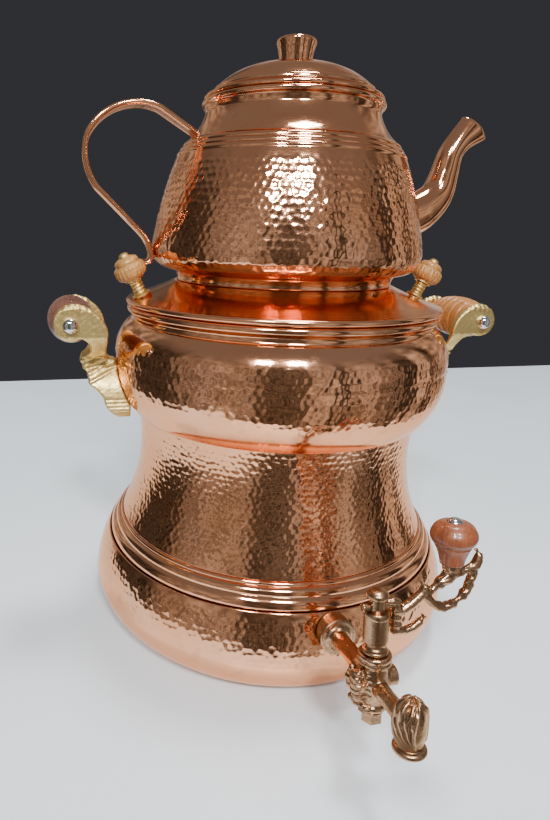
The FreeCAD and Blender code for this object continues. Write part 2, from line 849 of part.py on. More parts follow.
# Spout: shares of the way across and up from the root to the slanted mouth, half length and half
# width in shares of the root's radius, and the pitch of the way at each section
spout_root = (at.spout_root_reach, at.spout_root_rise, at.spout_root_radius, at.spout_root_radius, 0.0)
SPOUT_WAY = (
    (0.2138, 0.0096, 0.8432, 0.8432, 6.0),
    (0.4441, 0.1051, 0.7676, 0.7676, 30.0),
    (0.6250, 0.2866, 0.6378, 0.6378, 60.0),
    (0.6842, 0.5096, 0.5351, 0.5351, 84.0),
    (0.7336, 0.7166, 0.4703, 0.4703, 70.0),
    (0.8388, 0.8694, 0.4811, 0.4324, 52.0),
)
spout_mouth = (at.spout_mouth_reach, at.spout_mouth_rise, at.spout_mouth_length, at.spout_mouth_width,
               at.spout_mouth_pitch)


def spout_section(label, section, wall, further=0.0):
    reach, rise, half_length, half_width, pitch = section
    piece = doc.addObject("Part::Ellipse", label)
    bind(piece, "MajorRadius", half_length - wall)
    bind(piece, "MinorRadius", half_width - wall)
    slope = math.radians(plain(pitch))
    return stand(piece, across=reach + further * math.cos(slope), up=rise + further * math.sin(slope),
                 axis=(0, 1, 0), angle=90.0 - pitch)


def spout_between(across_share, up_share, length_share, width_share, pitch):
    reach, rise = part_way(spout_root, spout_mouth, across_share, up_share)
    return reach, rise, at.spout_root_radius * length_share, at.spout_root_radius * width_share, pitch


def spout_loft(label, wall, further):
    way = [spout_root] + [spout_between(*place) for place in SPOUT_WAY] + [spout_mouth]
    loft = doc.addObject("Part::Loft", label)
    loft.Sections = [spout_section("%s_section_%d" % (label, place), section, wall)
                     for place, section in enumerate(way)]
    if further:
        loft.Sections = loft.Sections + [spout_section(label + "_end", spout_mouth, wall, further)]
    loft.Solid = True
    return loft


spout_tube = cut("spout_tube", spout_loft("spout_outside", 0.0, 0.0),
                 spout_loft("spout_inside", at.spout_wall, at.spout_wall))
keep(stand(cut("teapot_spout", spout_tube, pot_form), up=pot_floor))

# Strap handle: (reach, rise, facing out, facing up) along its outer side, from the shoulder to the tail
strap_outline = skin([
    line(-64.5, 85.6, -0.5, 0.87),
    line(-89.0, 99.4, -0.3, 0.95),
    arc((-116.0, 98.8, -0.4, 0.92), (-136.4, 81.3, -0.93, 0.37)),
    arc((-138.4, 67.5, -1, 0), (-131.8, 49.5, -0.8, -0.6)),
    line(-104.0, 22.6, -0.75, -0.66),
    arc((-98.6, 15.0, -0.9, -0.4), (-96.8, 8.5, -1, 0)),
    arc((-97.6, 5.9, -0.7, 0.7), (-98.9, 5.2, 0, 1)),
    line(-101.0, 5.6, 0.25, 0.97),
], at.strap_thickness)
strap = new_body("strap")
pad(strap, "XZ_Plane", [strap_outline], at.strap_width, middle=True)
keep(stand(cut("teapot_handle", strap, pot_form), up=pot_floor))

# Lid of the teapot, in heights above the teapot's mouth
cover_rim_radius = at.mouth_radius + at.mouth_roll - at.cover_inset
cover_bead_middle = cover_rim_radius - at.cover_roll
cover_flange_radius = at.throat_radius - at.pot_wall - at.cover_flange_play
dome_foot = (at.dome_foot_radius, at.dome_foot_rise)
dome_top = (at.top_knob_foot, at.dome_height)
dome_half = part_way(dome_foot, dome_top, 1 - at.dome_swell, at.dome_swell)
cover_step = (at.cover_step_radius, at.cover_step_rise)
cover_foot = (cover_bead_middle, 2 * at.cover_roll)
screw_hole = at.top_screw_radius + at.bolt_play
flange_inner = cover_flange_radius - at.lid_wall
keep(stand(turned("teapot_lid", [
    line(flange_inner, 0.0),
    line(cover_bead_middle, 0.0),
    arc((cover_rim_radius, at.cover_roll), cover_foot),
    line(*cover_step),
    bead(cover_step, dome_foot, at.ridge_bulge),
    arc(dome_half, dome_top),
    line(screw_hole, at.dome_height),
    line(screw_hole, at.dome_height - at.lid_wall),
    line(at.top_knob_foot, at.dome_height - at.lid_wall),
    arc(inset(facing(dome_half, *OUT_UP), at.lid_wall), inset(facing(dome_foot, *OUT_UP), at.lid_wall)),
    line(at.dome_foot_radius - at.lid_wall, 2 * at.lid_wall),
    line(flange_inner, at.lid_wall),
]), up=cover_seat))
keep(stand(tube("teapot_lid_flange", cover_flange_radius, flange_inner, at.cover_flange_depth),
           up=cover_seat - at.cover_flange_depth))
knob_seat = cover_seat + at.dome_height
screw_depth = at.top_knob_height * 0.6
flare_foot = (at.top_knob_waist, at.top_knob_foot_height)
flare_top = (at.top_knob_radius, at.top_knob_height - at.top_knob_edge)
knob_edge = (at.top_knob_radius - at.top_knob_edge, at.top_knob_height)
keep(stand(turned("teapot_lid_knob", [
    line(screw_hole, 0.0),
    line(at.top_knob_foot, 0.0),
    line(at.top_knob_foot, at.top_knob_foot_height),
    line(*flare_foot),
    arc(part_way(flare_foot, flare_top, 0.25, 0.55), flare_top),
    arc(part_way(flare_top, knob_edge, 1 - SLANT, SLANT), knob_edge),
    line(0.0, at.top_knob_height),
    line(0.0, screw_depth),
    line(screw_hole, screw_depth),
]), up=knob_seat))
keep(stand(turned("teapot_lid_screw", [
    line(0.0, -1 * at.lid_wall - at.top_screw_head_height),
    line(at.top_screw_head, -1 * at.lid_wall - at.top_screw_head_height),
    line(at.top_screw_head, -1 * at.lid_wall),
    line(at.top_screw_radius, -1 * at.lid_wall),
    line(at.top_screw_radius, screw_depth - at.bolt_play),
    line(0.0, screw_depth - at.bolt_play),
]), up=knob_seat))

# Side handles: a cast fork per side, cut from its side view and its front view
half_grip = at.grip_length / 2
grip_bore = at.rod_radius + at.bolt_play
grip_swell_radius = at.grip_end_radius + (at.grip_radius - at.grip_end_radius) * at.grip_swell
arm_inner = half_grip + at.grip_play + at.washer_thickness
arm_outer = arm_inner + at.arm_thickness
grip_reach = at.bowl_radius + at.grip_stand_off
grip_height = at.bowl_height + at.grip_lift
shell_bottom = at.bowl_height - at.shell_drop
fork_rise = at.grip_lift + at.shell_drop


def from_eye(reach, rise):
    """A point of the fork's side view from the middle of the eye, in shares of its reach and rise."""
    return grip_reach + at.grip_stand_off * reach, grip_height + fork_rise * rise


def fork_side():
    eye = at.eye_radius
    inside = at.bowl_radius - 5 * at.vessel_wall
    return [
        line(inside, shell_bottom),
        line(at.bowl_radius - at.rest_gap, shell_bottom),
        arc(from_eye(-0.7895, -0.925), from_eye(-0.6579, -0.8015)),
        arc(from_eye(-0.5428, -0.7206), from_eye(-0.3454, -0.6544)),
        line(*from_eye(-0.3125, -0.5368)),
        arc(from_eye(-0.1875, -0.4559), from_eye(-0.1809, -0.3676)),
        arc(from_eye(-0.3947, -0.2868), from_eye(-0.4112, -0.1985)),
        line(grip_reach - eye * 0.6, grip_height - eye * 0.8),
        arc((grip_reach + eye, grip_height), (grip_reach, grip_height + eye)),
        arc(from_eye(-0.5428, 0.1029), from_eye(-0.7796, -0.0882)),
        line(*from_eye(-0.7171, -0.375)),
        arc(from_eye(-0.8553, -0.4044), from_eye(-1.0197, -0.4779)),
        line(inside, grip_height - fork_rise * 0.4926),
    ]


def fork_front():
    """The front view, right half from the foot up and then its mirror image down the left."""
    neck = at.fork_neck_half
    half = [
        line(at.shell_half * 0.72, shell_bottom - at.rest_gap),
        arc((at.shell_half * 0.97, shell_bottom + fork_rise * 0.0515),
            (at.shell_half, shell_bottom + fork_rise * 0.1471)),
        arc((at.shell_half * 0.82, shell_bottom + fork_rise * 0.3382),
            (neck, shell_bottom + fork_rise * 0.5147)),
        line(neck, shell_bottom + fork_rise * 0.6176),
        arc((at.shell_half, shell_bottom + fork_rise * 0.6838),
            (arm_outer, grip_height - fork_rise * 0.1176)),
        line(arm_outer, grip_height + at.eye_radius * 1.1),
        line(arm_inner, grip_height + at.eye_radius * 1.1),
        line(arm_inner, grip_height - fork_rise * 0.1912),
        arc((arm_inner * 0.8, grip_height - fork_rise * 0.2647), (0.0, grip_height - fork_rise * 0.3015)),
    ]
    mirrored = []
    for step, before in zip(reversed(half[1:]), reversed(half[:-1])):
        end = (-1 * before.end[0], before.end[1])
        mirrored.append(line(*end) if step.via is None else arc((-1 * step.via[0], step.via[1]), end))
    return half + mirrored


rod_hole = at.rod_radius + at.rod_fit
screw_reach = at.bowl_radius - at.bowl_side_drop - at.vessel_wall - at.bracket_screw_set
screw_hole_length = at.bracket_screw_length + at.bolt_play
wall_holes = [
    cylinder("bowl_hole_" + name, at.bracket_screw_radius + at.bolt_play, 2 * grip_reach,
             across=-1 * grip_reach, along=sign * at.bracket_screw_half_pitch,
             up=screw_level, **TO_RIGHT)
    for name, sign in (("front", -1), ("back", 1))]
keep(cut("bowl", bowl_shell, group("bowl_holes", wall_holes)))

washers = []
dome_nuts = []
bracket_screws = []
for side_name, side in SIDES:
    side_view = new_body("fork_side_" + side_name)
    pad(side_view, "XZ_Plane", [fork_side()], 2 * (arm_outer + at.arm_thickness), middle=True)
    front_view = new_body("fork_front_" + side_name)
    pad(front_view, "YZ_Plane", [fork_front()], 2 * grip_reach)
    blank = common("fork_blank_" + side_name, side_view, front_view)
    bores = [cylinder("rod_bore_" + side_name, rod_hole, 2 * arm_outer,
                      across=grip_reach, along=arm_outer, up=grip_height, **TO_TAP)]
    for name, sign in (("front", -1), ("back", 1)):
        bores.append(cylinder("screw_bore_%s_%s" % (side_name, name),
                              at.bracket_screw_radius + at.bolt_play, screw_hole_length,
                              across=screw_reach, along=sign * at.bracket_screw_half_pitch,
                              up=screw_level, **TO_RIGHT))
    bores.append(bowl_form)
    fork = cut("handle_bracket_" + side_name, blank, group("fork_bores_" + side_name, bores))
    fork.Placement = FreeCAD.Placement(FreeCAD.Vector(0, 0, 0),
                                       FreeCAD.Rotation(FreeCAD.Vector(0, 0, 1), 90.0 - 90.0 * side))
    keep(fork)

    keep(stand(turned("handle_grip_" + side_name, [
        line(grip_bore, -1 * half_grip),
        line(at.grip_end_radius, -1 * half_grip),
        arc((grip_swell_radius, -0.5 * half_grip), (at.grip_radius, 0.0)),
        arc((grip_swell_radius, 0.5 * half_grip), (at.grip_end_radius, half_grip)),
        line(grip_bore, half_grip),
    ]), across=side * grip_reach, up=grip_height, **TO_TAP))
    rod_half = arm_outer + at.dome_nut_height / 2
    keep(cylinder("handle_rod_" + side_name, at.rod_radius, 2 * rod_half,
                  across=side * grip_reach, along=rod_half, up=grip_height, **TO_TAP))
    for end_name, sign, lie in (("front", -1, TO_TAP), ("back", 1, TO_BACK)):
        name = "%s_%s" % (side_name, end_name)
        washer = tube("washer_" + name, at.washer_radius, grip_bore, at.washer_thickness)
        stand(washer, across=side * grip_reach, along=sign * (half_grip + at.grip_play),
              up=grip_height, **lie)
        washers.append(washer)
        nut = turned("dome_nut_" + name, [
            line(rod_hole, 0.0),
            line(at.dome_nut_radius, 0.0),
            line(at.dome_nut_radius, at.dome_nut_height * 0.3),
            arc((at.dome_nut_radius * SLANT, at.dome_nut_height * 0.8), (at.tip_flat, at.dome_nut_height)),
            line(0.0, at.dome_nut_height),
            line(0.0, at.dome_nut_height / 2 + at.bolt_play),
            line(rod_hole, at.dome_nut_height / 2 + at.bolt_play),
        ])
        dome_nuts.append(stand(nut, across=side * grip_reach, along=sign * arm_outer,
                               up=grip_height, **lie))
        screw = turned("bracket_screw_" + name, [
            line(0.0, -1 * at.bracket_screw_radius),
            line(at.bracket_screw_head, -1 * at.bracket_screw_radius),
            line(at.bracket_screw_head, 0.0),
            line(at.bracket_screw_radius, 0.0),
            line(at.bracket_screw_radius, at.bracket_screw_length),
            line(0.0, at.bracket_screw_length),
        ])
        bracket_screws.append(stand(screw, across=side * screw_reach,
                                    along=sign * at.bracket_screw_half_pitch,
                                    up=screw_level, axis=(0, side, 0), angle=90.0))
keep(group("handle_washers", washers))
keep(group("dome_nuts", dome_nuts))
keep(group("bracket_screws", bracket_screws))

# Tap: fixings through the belly
plate_along = at.tap_reach - at.belly_radius - at.escutcheon_inset
wedge_along = plate_along + at.wedge_run
nut_end_along = wedge_along + at.lock_nut_thickness
pipe_end_along = nut_end_along + at.pipe_tail
pipe_start_along = at.barrel_radius + at.rest_gap
pipe_hole = at.pipe_radius + at.bolt_play
gasket_form = belly_form("gasket_form", at.gasket_thickness)

steps_out = at.escutcheon_thickness / 3
plate_blank = turned("escutcheon_blank", [
    line(pipe_hole, -1 * at.escutcheon_skirt),
    line(at.escutcheon_radius, -1 * at.escutcheon_skirt),
    line(at.escutcheon_radius, 0.0),
    arc((at.escutcheon_radius - at.rest_gap, steps_out * 0.7), (at.escutcheon_radius - steps_out, steps_out)),
    line(at.escutcheon_radius - 2 * steps_out, steps_out),
    arc((at.socket_radius + steps_out * 0.4, steps_out * 1.5), (at.socket_radius, 2 * steps_out)),
    line(at.socket_radius - steps_out / 2, at.escutcheon_thickness),
    line(pipe_hole, at.escutcheon_thickness),
])
stand(plate_blank, **tap_place(along=plate_along, lie="forward"))
keep(cut("tap_escutcheon", plate_blank, gasket_form))
gasket_blank = tube("gasket_blank", at.gasket_radius, pipe_hole, 2 * at.escutcheon_skirt)
stand(gasket_blank, **tap_place(along=plate_along + at.escutcheon_skirt, lie="forward"))
keep(cut("tap_gasket_outer", common("gasket_sheet", gasket_blank, gasket_form),
         belly_form("outer_form", 0.0)))
wedge_blank = tube("wedge_blank", at.gasket_radius, pipe_hole, at.escutcheon_skirt)
stand(wedge_blank, **tap_place(along=wedge_along, lie="forward"))
keep(common("tap_wedge_washer", wedge_blank, belly_form("inner_form", -1 * at.vessel_wall)))
lock_nut = new_body("tap_lock_nut")
pad(lock_nut, "XY_Plane", [hexagon(0.0, 0.0, at.lock_nut_radius), ((0.0, 0.0), pipe_hole)],
    at.lock_nut_thickness)
keep(stand(lock_nut, **tap_place(along=wedge_along, lie="back")))
keep(stand(tube("tap_pipe", at.pipe_radius, at.pipe_bore, pipe_end_along - pipe_start_along),
           **tap_place(along=pipe_end_along, lie="forward")))

# Tap body: barrel with collar, socket for the pipe, side bosses and outlet; then its bores
collar_top = at.barrel_top + at.collar_height
body_bottom = -1 * at.barrel_bottom
lip_edge = at.barrel_low_radius - at.rest_gap
barrel_edge = at.barrel_radius - at.edge_step
collar_edge = at.collar_radius - at.edge_step
tap_body = new_body("tap_body")
turn(tap_body, [
    line(0.0, body_bottom),
    line(lip_edge, body_bottom),
    arc((at.barrel_low_radius, body_bottom + at.barrel_lip / 2), (lip_edge, body_bottom + at.barrel_lip)),
    line(at.barrel_low_radius - at.barrel_groove, body_bottom + at.barrel_lip + at.barrel_groove / 2),
    arc((at.barrel_radius, 0.0), (barrel_edge, at.barrel_top - at.barrel_groove)),
    line(barrel_edge, at.barrel_top),
    arc((at.collar_radius, at.barrel_top + at.collar_height * 0.25),
        (collar_edge, at.barrel_top + at.collar_height * 0.5)),
    arc((at.collar_radius, at.barrel_top + at.collar_height * 0.75), (collar_edge, collar_top)),
    line(0.0, collar_top),
])
pad(tap_body, "XZ_Plane", [((0.0, 0.0), at.socket_radius)], at.socket_length, reverse=True)
pad(tap_body, "XZ_Plane", [((0.0, 0.0), at.outlet_radius)], at.nozzle_reach - at.nozzle_bore)
pad(tap_body, "YZ_Plane", [((0.0, at.boss_rise), at.boss_radius)], 2 * at.boss_reach, middle=True)
pocket(tap_body, "XZ_Plane", [((0.0, 0.0), at.pipe_radius + at.bolt_play)], 2 * at.socket_length,
       offset=-1 * pipe_start_along)
pocket(tap_body, "XZ_Plane", [((0.0, 0.0), at.outlet_bore)], 2 * at.nozzle_reach, middle=True)
turn(tap_body, [
    line(0.0, body_bottom),
    line(at.plug_bottom_radius + at.plug_play, body_bottom),
    line(at.plug_top_radius + at.plug_play, collar_top),
    line(0.0, collar_top),
], cut=True)
keep(stand(tap_body, **tap_place()))

# Nozzle: a bud-shaped hood over a flared lip, with a round bore that opens downwards
neck_up = -1 * at.nozzle_neck_drop
lip_up = -1 * at.nozzle_drop
nozzle = turned("tap_nozzle", [
    line(0.0, at.nozzle_top),
    arc((at.nozzle_radius * 0.8, at.nozzle_top * 0.72), (at.nozzle_radius, at.nozzle_wide_rise)),
    arc((at.nozzle_radius * 0.9, neck_up / 2), (at.nozzle_neck_radius, neck_up)),
    line(at.nozzle_neck_radius, neck_up - at.nozzle_lip_edge),
    arc((at.nozzle_lip_radius, lip_up + 2 * at.nozzle_lip_edge),
        (at.nozzle_lip_radius - at.nozzle_lip_edge, lip_up)),
    line(0.0, lip_up),
])
pocket(nozzle, "XY_Plane", [((0.0, 0.0), at.nozzle_bore)], at.nozzle_drop)
pocket(nozzle, "XZ_Plane", [((0.0, 0.0), at.outlet_radius + at.bolt_play)], 2 * at.nozzle_radius)
keep(stand(nozzle, **tap_place(along=-1 * at.nozzle_reach)))

# Key: plug with its cross bore, which stands across the flow while the tap is closed
bead_end = collar_top + at.column_bead
hollow_end = bead_end + at.column_cove
shaft_end = hollow_end + at.column_shaft
ring_end = shaft_end + at.column_ring
neck_end = ring_end + at.column_neck
column_top = neck_end + at.crown_height
tail_end = body_bottom - at.spring_height - at.key_washer_thickness - at.key_nut_height
plug_bottom = body_bottom + at.key_washer_thickness
column = at.column_radius
step_in = column - at.column_step
key = turned("tap_key", [
    line(0.0, tail_end),
    line(at.tail_radius, tail_end),
    line(at.tail_radius, plug_bottom),
    line(at.plug_bottom_radius, plug_bottom),
    line(at.plug_top_radius, collar_top + at.rest_gap),
    line(column, collar_top + at.rest_gap),
    arc((column + at.rest_gap, collar_top + at.column_bead / 2), (step_in, bead_end)),
    arc((column - at.column_hollow, bead_end + at.column_cove / 2), (step_in, hollow_end)),
    line(column, hollow_end),
    line(column, shaft_end),
    arc((column + at.rest_gap, shaft_end + at.column_ring / 2), (column - at.rest_gap, ring_end)),
    line(at.column_waist, ring_end),
    line(at.column_waist, neck_end),
    arc((at.crown_radius, neck_end + at.crown_height * 0.38),
        (at.crown_radius * 0.86, neck_end + at.crown_height * 0.75)),
    arc((at.crown_radius * 0.5, column_top - at.rest_gap), (at.tip_flat, column_top)),
    line(0.0, column_top),
])
pocket(key, "YZ_Plane", [((0.0, 0.0), at.water_way)], 2 * at.barrel_radius, middle=True)
pin_hole = at.lever_pin_radius + at.bolt_play
pocket(key, "YZ_Plane", [((0.0, at.lever_pin_rise), pin_hole)], 2 * at.barrel_radius, middle=True)
keep(stand(key, **tap_place()))
spring_hole = at.tail_radius + at.bolt_play
keep(stand(tube("tap_spring_washer", at.spring_radius, spring_hole, at.spring_height),
           **tap_place(up=body_bottom - at.spring_height)))
keep(stand(tube("tap_key_washer", at.key_nut_radius, spring_hole, at.key_washer_thickness),
           **tap_place(up=body_bottom - at.spring_height - at.key_washer_thickness)))
key_nut = new_body("tap_key_nut")
pad(key_nut, "XY_Plane", [hexagon(0.0, 0.0, at.key_nut_radius), ((0.0, 0.0), spring_hole)],
    at.key_nut_height)
keep(stand(key_nut, **tap_place(up=tail_end)))

# Lever: a scrolled flat casting from the plate beside the column up to the knob, with a leaf below.
# Its outlines are (distance from the key's middle, height above the valve's middle)
lever = new_body("tap_lever")
pin_rise = at.lever_pin_rise
plate_in = column + 2 * at.rest_gap
plate_out = plate_in + at.lever_thickness
lever_root = plate_out - at.column_step
pad(lever, "XZ_Plane", [[
    line(plate_in, pin_rise - 18.0),
    line(plate_out, pin_rise - 18.0),
    line(plate_out, pin_rise + 2.8),
    line(at.column_waist + at.rest_gap, pin_rise + 2.8),
    line(at.column_waist + at.rest_gap, pin_rise - 2.0),
    line(plate_in, pin_rise - 2.0),
]], at.lever_thickness, middle=True)
pad(lever, "XZ_Plane", [skin([
    line(lever_root, pin_rise - 7.0, *OUT_DOWN),
    arc((20.5, 40.5, 0.5, -0.87), (27.0, 46.2, *DOWN)),
    arc((30.8, 44.2, -0.6, -0.8), (32.6, 40.0, -0.9, -0.4)),
    arc((35.2, 36.9, -0.6, -0.8), (40.0, 35.6, *DOWN)),
    arc((50.0, 38.9, 0.55, -0.83), (56.0, 45.8, 0.95, -0.3)),
    line(57.4, 53.0, *OUT),
    line(58.4, 64.0, *OUT),
], at.lever_bar)], at.lever_thickness, middle=True)
pad(lever, "XZ_Plane", [skin([
    line(lever_root, pin_rise - 17.5, *DOWN),
    arc((21.0, 26.2, 0.5, -0.87), (27.5, 32.5, 0.8, -0.6)),
], at.lever_hook)], at.lever_thickness, middle=True)
arm_under = at.knob_arm_rise - at.lever_boss_height
pad(lever, "XZ_Plane", [skin([
    line(56.0, 55.5, *DOWN),
    arc((at.knob_arm_reach, arm_under, *DOWN), (33.0, 50.0, 0.4, -0.9)),
], -1 * at.lever_bar)], at.lever_thickness, middle=True)
pad(lever, "XY_Plane", [((at.knob_arm_reach, 0.0), at.lever_boss_radius)], at.lever_boss_height,
    offset=arm_under)
pocket(lever, "YZ_Plane", [((0.0, pin_rise), pin_hole)], 2 * (plate_out + at.rest_gap), middle=True)
pocket(lever, "XY_Plane", [((at.knob_arm_reach, 0.0), at.tap_screw_radius + at.bolt_play)],
       at.lever_boss_height, offset=at.knob_arm_rise)
keep(stand(lever, **tap_place()))
head = at.lever_pin_head
head_length = 2 * head
head_round = head - at.lever_pin_radius
round_middle = at.lever_pin_radius + head_round * SLANT
pin_start = -1 * at.column_waist - head_length
pin_shape = turned("lever_pin", [
    line(0.0, 0.0),
    line(at.lever_pin_radius, 0.0),
    arc((round_middle, head_round - head_round * SLANT), (head, head_round)),
    line(head, head_length - head_round),
    arc((round_middle, head_length - head_round + head_round * SLANT), (at.lever_pin_radius, head_length)),
    line(at.lever_pin_radius, plate_out - pin_start),
    line(0.0, plate_out - pin_start),
])
pin_where = tap_place(across=pin_start, up=pin_rise)
keep(stand(pin_shape, across=pin_start, along=pin_where["along"], up=pin_where["up"], **TO_RIGHT))

knob = at.tap_knob_radius
screw_play = at.tap_screw_radius + at.bolt_play
keep(stand(turned("tap_knob", [
    line(screw_play, 0.0),
    line(at.tap_knob_foot, 0.0),
    arc((at.tap_knob_foot + 1.2, at.tap_knob_height * 0.2), (knob * 0.78, at.tap_knob_height * 0.42)),
    line(knob * 0.95, at.tap_knob_height * 0.46),
    arc((knob, at.tap_knob_height * 0.66), (knob * 0.84, at.tap_knob_height * 0.9)),
    arc((knob * 0.6, at.tap_knob_height * 0.975), (at.tap_screw_head, at.tap_knob_height)),
    line(screw_play, at.tap_knob_height),
]), **tap_place(across=at.knob_arm_reach, up=at.knob_arm_rise)))
screw_top = at.tap_knob_height + at.tap_screw_head_height
screw_end = at.bolt_play - at.lever_boss_height
keep(stand(turned("tap_knob_screw", [
    line(0.0, screw_end),
    line(at.tap_screw_radius, screw_end),
    line(at.tap_screw_radius, at.tap_knob_height),
    line(at.tap_screw_head, at.tap_knob_height),
    arc((at.tap_screw_head * 0.7, screw_top - at.rest_gap), (at.tip_flat, screw_top)),
    line(0.0, screw_top),
]), **tap_place(across=at.knob_arm_reach, up=at.knob_arm_rise)))

doc.recompute()
for item in doc.Objects:
    if any(word in item.State for word in ("Invalid", "Error")):
        raise SystemExit("%s has failed: %s" % (item.Label, item.State))
for name, piece in nodes.items():
    if piece.Shape.isNull() or not piece.Shape.isValid() or not piece.Shape.Solids:
        raise SystemExit("%s has no sound solid" % name)

os.makedirs("parts", exist_ok=True)
for name, piece in nodes.items():
    piece.Shape.exportStep(os.path.join("parts", name + ".step"))
    print("%-24s %d solid(s), %9.1f mm3" % (name, len(piece.Shape.Solids), piece.Shape.Volume))
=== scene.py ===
import bpy
import bmesh
import json
import math
import numpy as np
from mathutils import Matrix, Vector


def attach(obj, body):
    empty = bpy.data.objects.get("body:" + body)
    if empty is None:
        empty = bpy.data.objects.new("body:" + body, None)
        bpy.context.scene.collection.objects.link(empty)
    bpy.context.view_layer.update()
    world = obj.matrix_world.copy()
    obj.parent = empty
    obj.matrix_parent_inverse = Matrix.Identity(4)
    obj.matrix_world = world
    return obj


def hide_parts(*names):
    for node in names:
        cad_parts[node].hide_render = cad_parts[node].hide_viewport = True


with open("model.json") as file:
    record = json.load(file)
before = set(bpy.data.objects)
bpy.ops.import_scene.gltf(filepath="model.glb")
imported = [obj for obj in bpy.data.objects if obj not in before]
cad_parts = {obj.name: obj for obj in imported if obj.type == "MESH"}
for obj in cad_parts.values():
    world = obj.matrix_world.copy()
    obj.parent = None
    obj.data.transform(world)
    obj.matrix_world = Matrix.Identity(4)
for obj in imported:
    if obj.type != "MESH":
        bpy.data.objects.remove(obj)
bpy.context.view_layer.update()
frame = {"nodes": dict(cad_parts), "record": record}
nodes = frame["nodes"]

# %% [markdown]
# # A hammered copper samovar for the stove
# The frame holds every solid of the part in its place, in metres: +Z is up, the tap points to -Y, the
# teapot's spout to +X. This script dresses that frame. Copper sheet is built again as fine meshes with
# every hammer mark in it, castings are melted from rods and copies of their solids, and the rest keeps
# its solid and gets a finish.

# %% Count what the frame holds
print("solids to dress:", len(nodes))

# %% [markdown]
# ## Camera
# The photograph was taken from a little above the lid, 43 cm from the middle of the vessel. A focal length
# of 563 pixels, for a picture 820 pixels high, and a small shift fit every rim and handle.

# %% Place the camera
def new_object(name, data):
    """A new object in the scene."""
    made = bpy.data.objects.new(name, data)
    bpy.context.scene.collection.objects.link(made)
    return made


PICTURE_HEIGHT = 820.0
FOCAL_PIXELS = 563.3
SHIFT_PIXELS = (62.3, 13.1)
EYE = (-0.1459, -0.4009, 0.2895)
HEADING, DOWNWARDS, ROLL = -13.62, 18.62, 1.62
lens = bpy.data.cameras.new("photo_lens")
lens.sensor_fit = "VERTICAL"
lens.sensor_height = 24.0
lens.lens = lens.sensor_height * FOCAL_PIXELS / PICTURE_HEIGHT
lens.shift_x = SHIFT_PIXELS[0] / PICTURE_HEIGHT
lens.shift_y = SHIFT_PIXELS[1] / PICTURE_HEIGHT
camera = new_object("photo_camera", lens)
camera.matrix_world = (
    Matrix.Translation(EYE)
    @ Matrix.Rotation(math.radians(HEADING), 4, "Z")
    @ Matrix.Rotation(math.radians(90.0 - DOWNWARDS), 4, "X")
    @ Matrix.Rotation(math.radians(ROLL), 4, "Z"))
bpy.context.scene.camera = camera
print("lens %.2f mm" % lens.lens)

# %% [markdown]
# ## Shader arithmetic
# A finish is easier to read as a formula than as a web of nodes. Wire holds one output socket, and
# adding or multiplying wires adds the Math nodes. Any other node comes from Finish.add, which takes the
# node's type, its settings and what goes into its sockets.

# %% Make wires that add and multiply
class Wire:
    """One output socket of a finish, with arithmetic that adds Math nodes."""

    def __init__(self, finish, socket):
        self.finish = finish
        self.socket = socket

    def math(self, operation, *others):
        values = dict(enumerate((self,) + others))
        return self.finish.add("Math", {"operation": operation}, values)

    def __add__(self, other):
        return self.math("ADD", other)

    def __sub__(self, other):
        return self.math("SUBTRACT", other)

    def __mul__(self, other):
        return self.math("MULTIPLY", other)

    def __truediv__(self, other):
        return self.math("DIVIDE", other)

    __radd__ = __add__
    __rmul__ = __mul__

    def __rsub__(self, other):
        return self.finish.add("Math", {"operation": "SUBTRACT"}, {0: other, 1: self})


print("operators on a wire: + - * /")

# %% Make the class that builds a finish
class Finish:
    """A material built from nodes round one Principled shader."""

    def __init__(self, name):
        self.material = bpy.data.materials.new(name)
        self.material.use_nodes = True
        self.tree = self.material.node_tree
        self.shader = self.tree.nodes["Principled BSDF"]

    def add(self, kind, settings=None, inputs=None, output=0):
        node = self.tree.nodes.new("ShaderNode" + kind)
        for name, value in (settings or {}).items():
            if name == "stops":
                stops = node.color_ramp.elements
                while len(stops) < len(value):
                    stops.new(0.5)
                for stop, (place, colour) in zip(stops, value):
                    stop.position = place
                    stop.color = tuple(colour) + (1.0,)
            else:
                setattr(node, name, value)
        for name, value in (inputs or {}).items():
            self.feed(node.inputs[name], value)
        return Wire(self, node.outputs[output])

    def feed(self, socket, value):
        if isinstance(value, Wire):
            self.tree.links.new(value.socket, socket)
        elif isinstance(value, tuple) and len(value) == 3 and socket.type == "RGBA":
            socket.default_value = value + (1.0,)
        else:
            socket.default_value = value

    def place(self, stretch=(1.0, 1.0, 1.0)):
        """Where a point of the surface is on the object at rest, in metres times the stretch."""
        spot = self.add("TexCoord", output="Object")
        return self.add("VectorMath", {"operation": "MULTIPLY"}, {0: spot, 1: stretch})

    def noise(self, size, detail=3.0, stretch=(1.0, 1.0, 1.0), distortion=0.0):
        """Soft blotches of about the given size in metres, from 0 to 1."""
        return self.add("TexNoise", None, {
            "Vector": self.place(stretch), "Scale": 1.0 / size, "Detail": detail,
            "Distortion": distortion})

    def blend(self, share, first, second):
        """A colour between two colours."""
        return self.add("Mix", {"data_type": "RGBA"}, {0: share, 6: first, 7: second}, output=2)

    def span(self, wire, low, high, new_low=0.0, new_high=1.0):
        """Stretch a range of a wire onto another range, and stay inside it."""
        return self.add("MapRange", {"clamp": True}, {0: wire, 1: low, 2: high, 3: new_low, 4: new_high})

    def relief(self, height, strength, distance):
        """Turn a height into a small change of the surface's direction."""
        return self.add("Bump", None, {"Height": height, "Strength": strength, "Distance": distance})

    def set(self, **sockets):
        for name, value in sockets.items():
            self.feed(self.shader.inputs[name.replace("_", " ")], value)
        return self.material


print("finish helper ready")

# %% [markdown]
# ## Copper
# Polished copper is a warm mirror: what it reflects once turns orange, and what it reflects twice turns
# red. Two sizes of blotches mix three coppers, and a fine haze of wiping marks changes how sharp the
# mirror is. The strap is dull along the middle, between its bright edges.

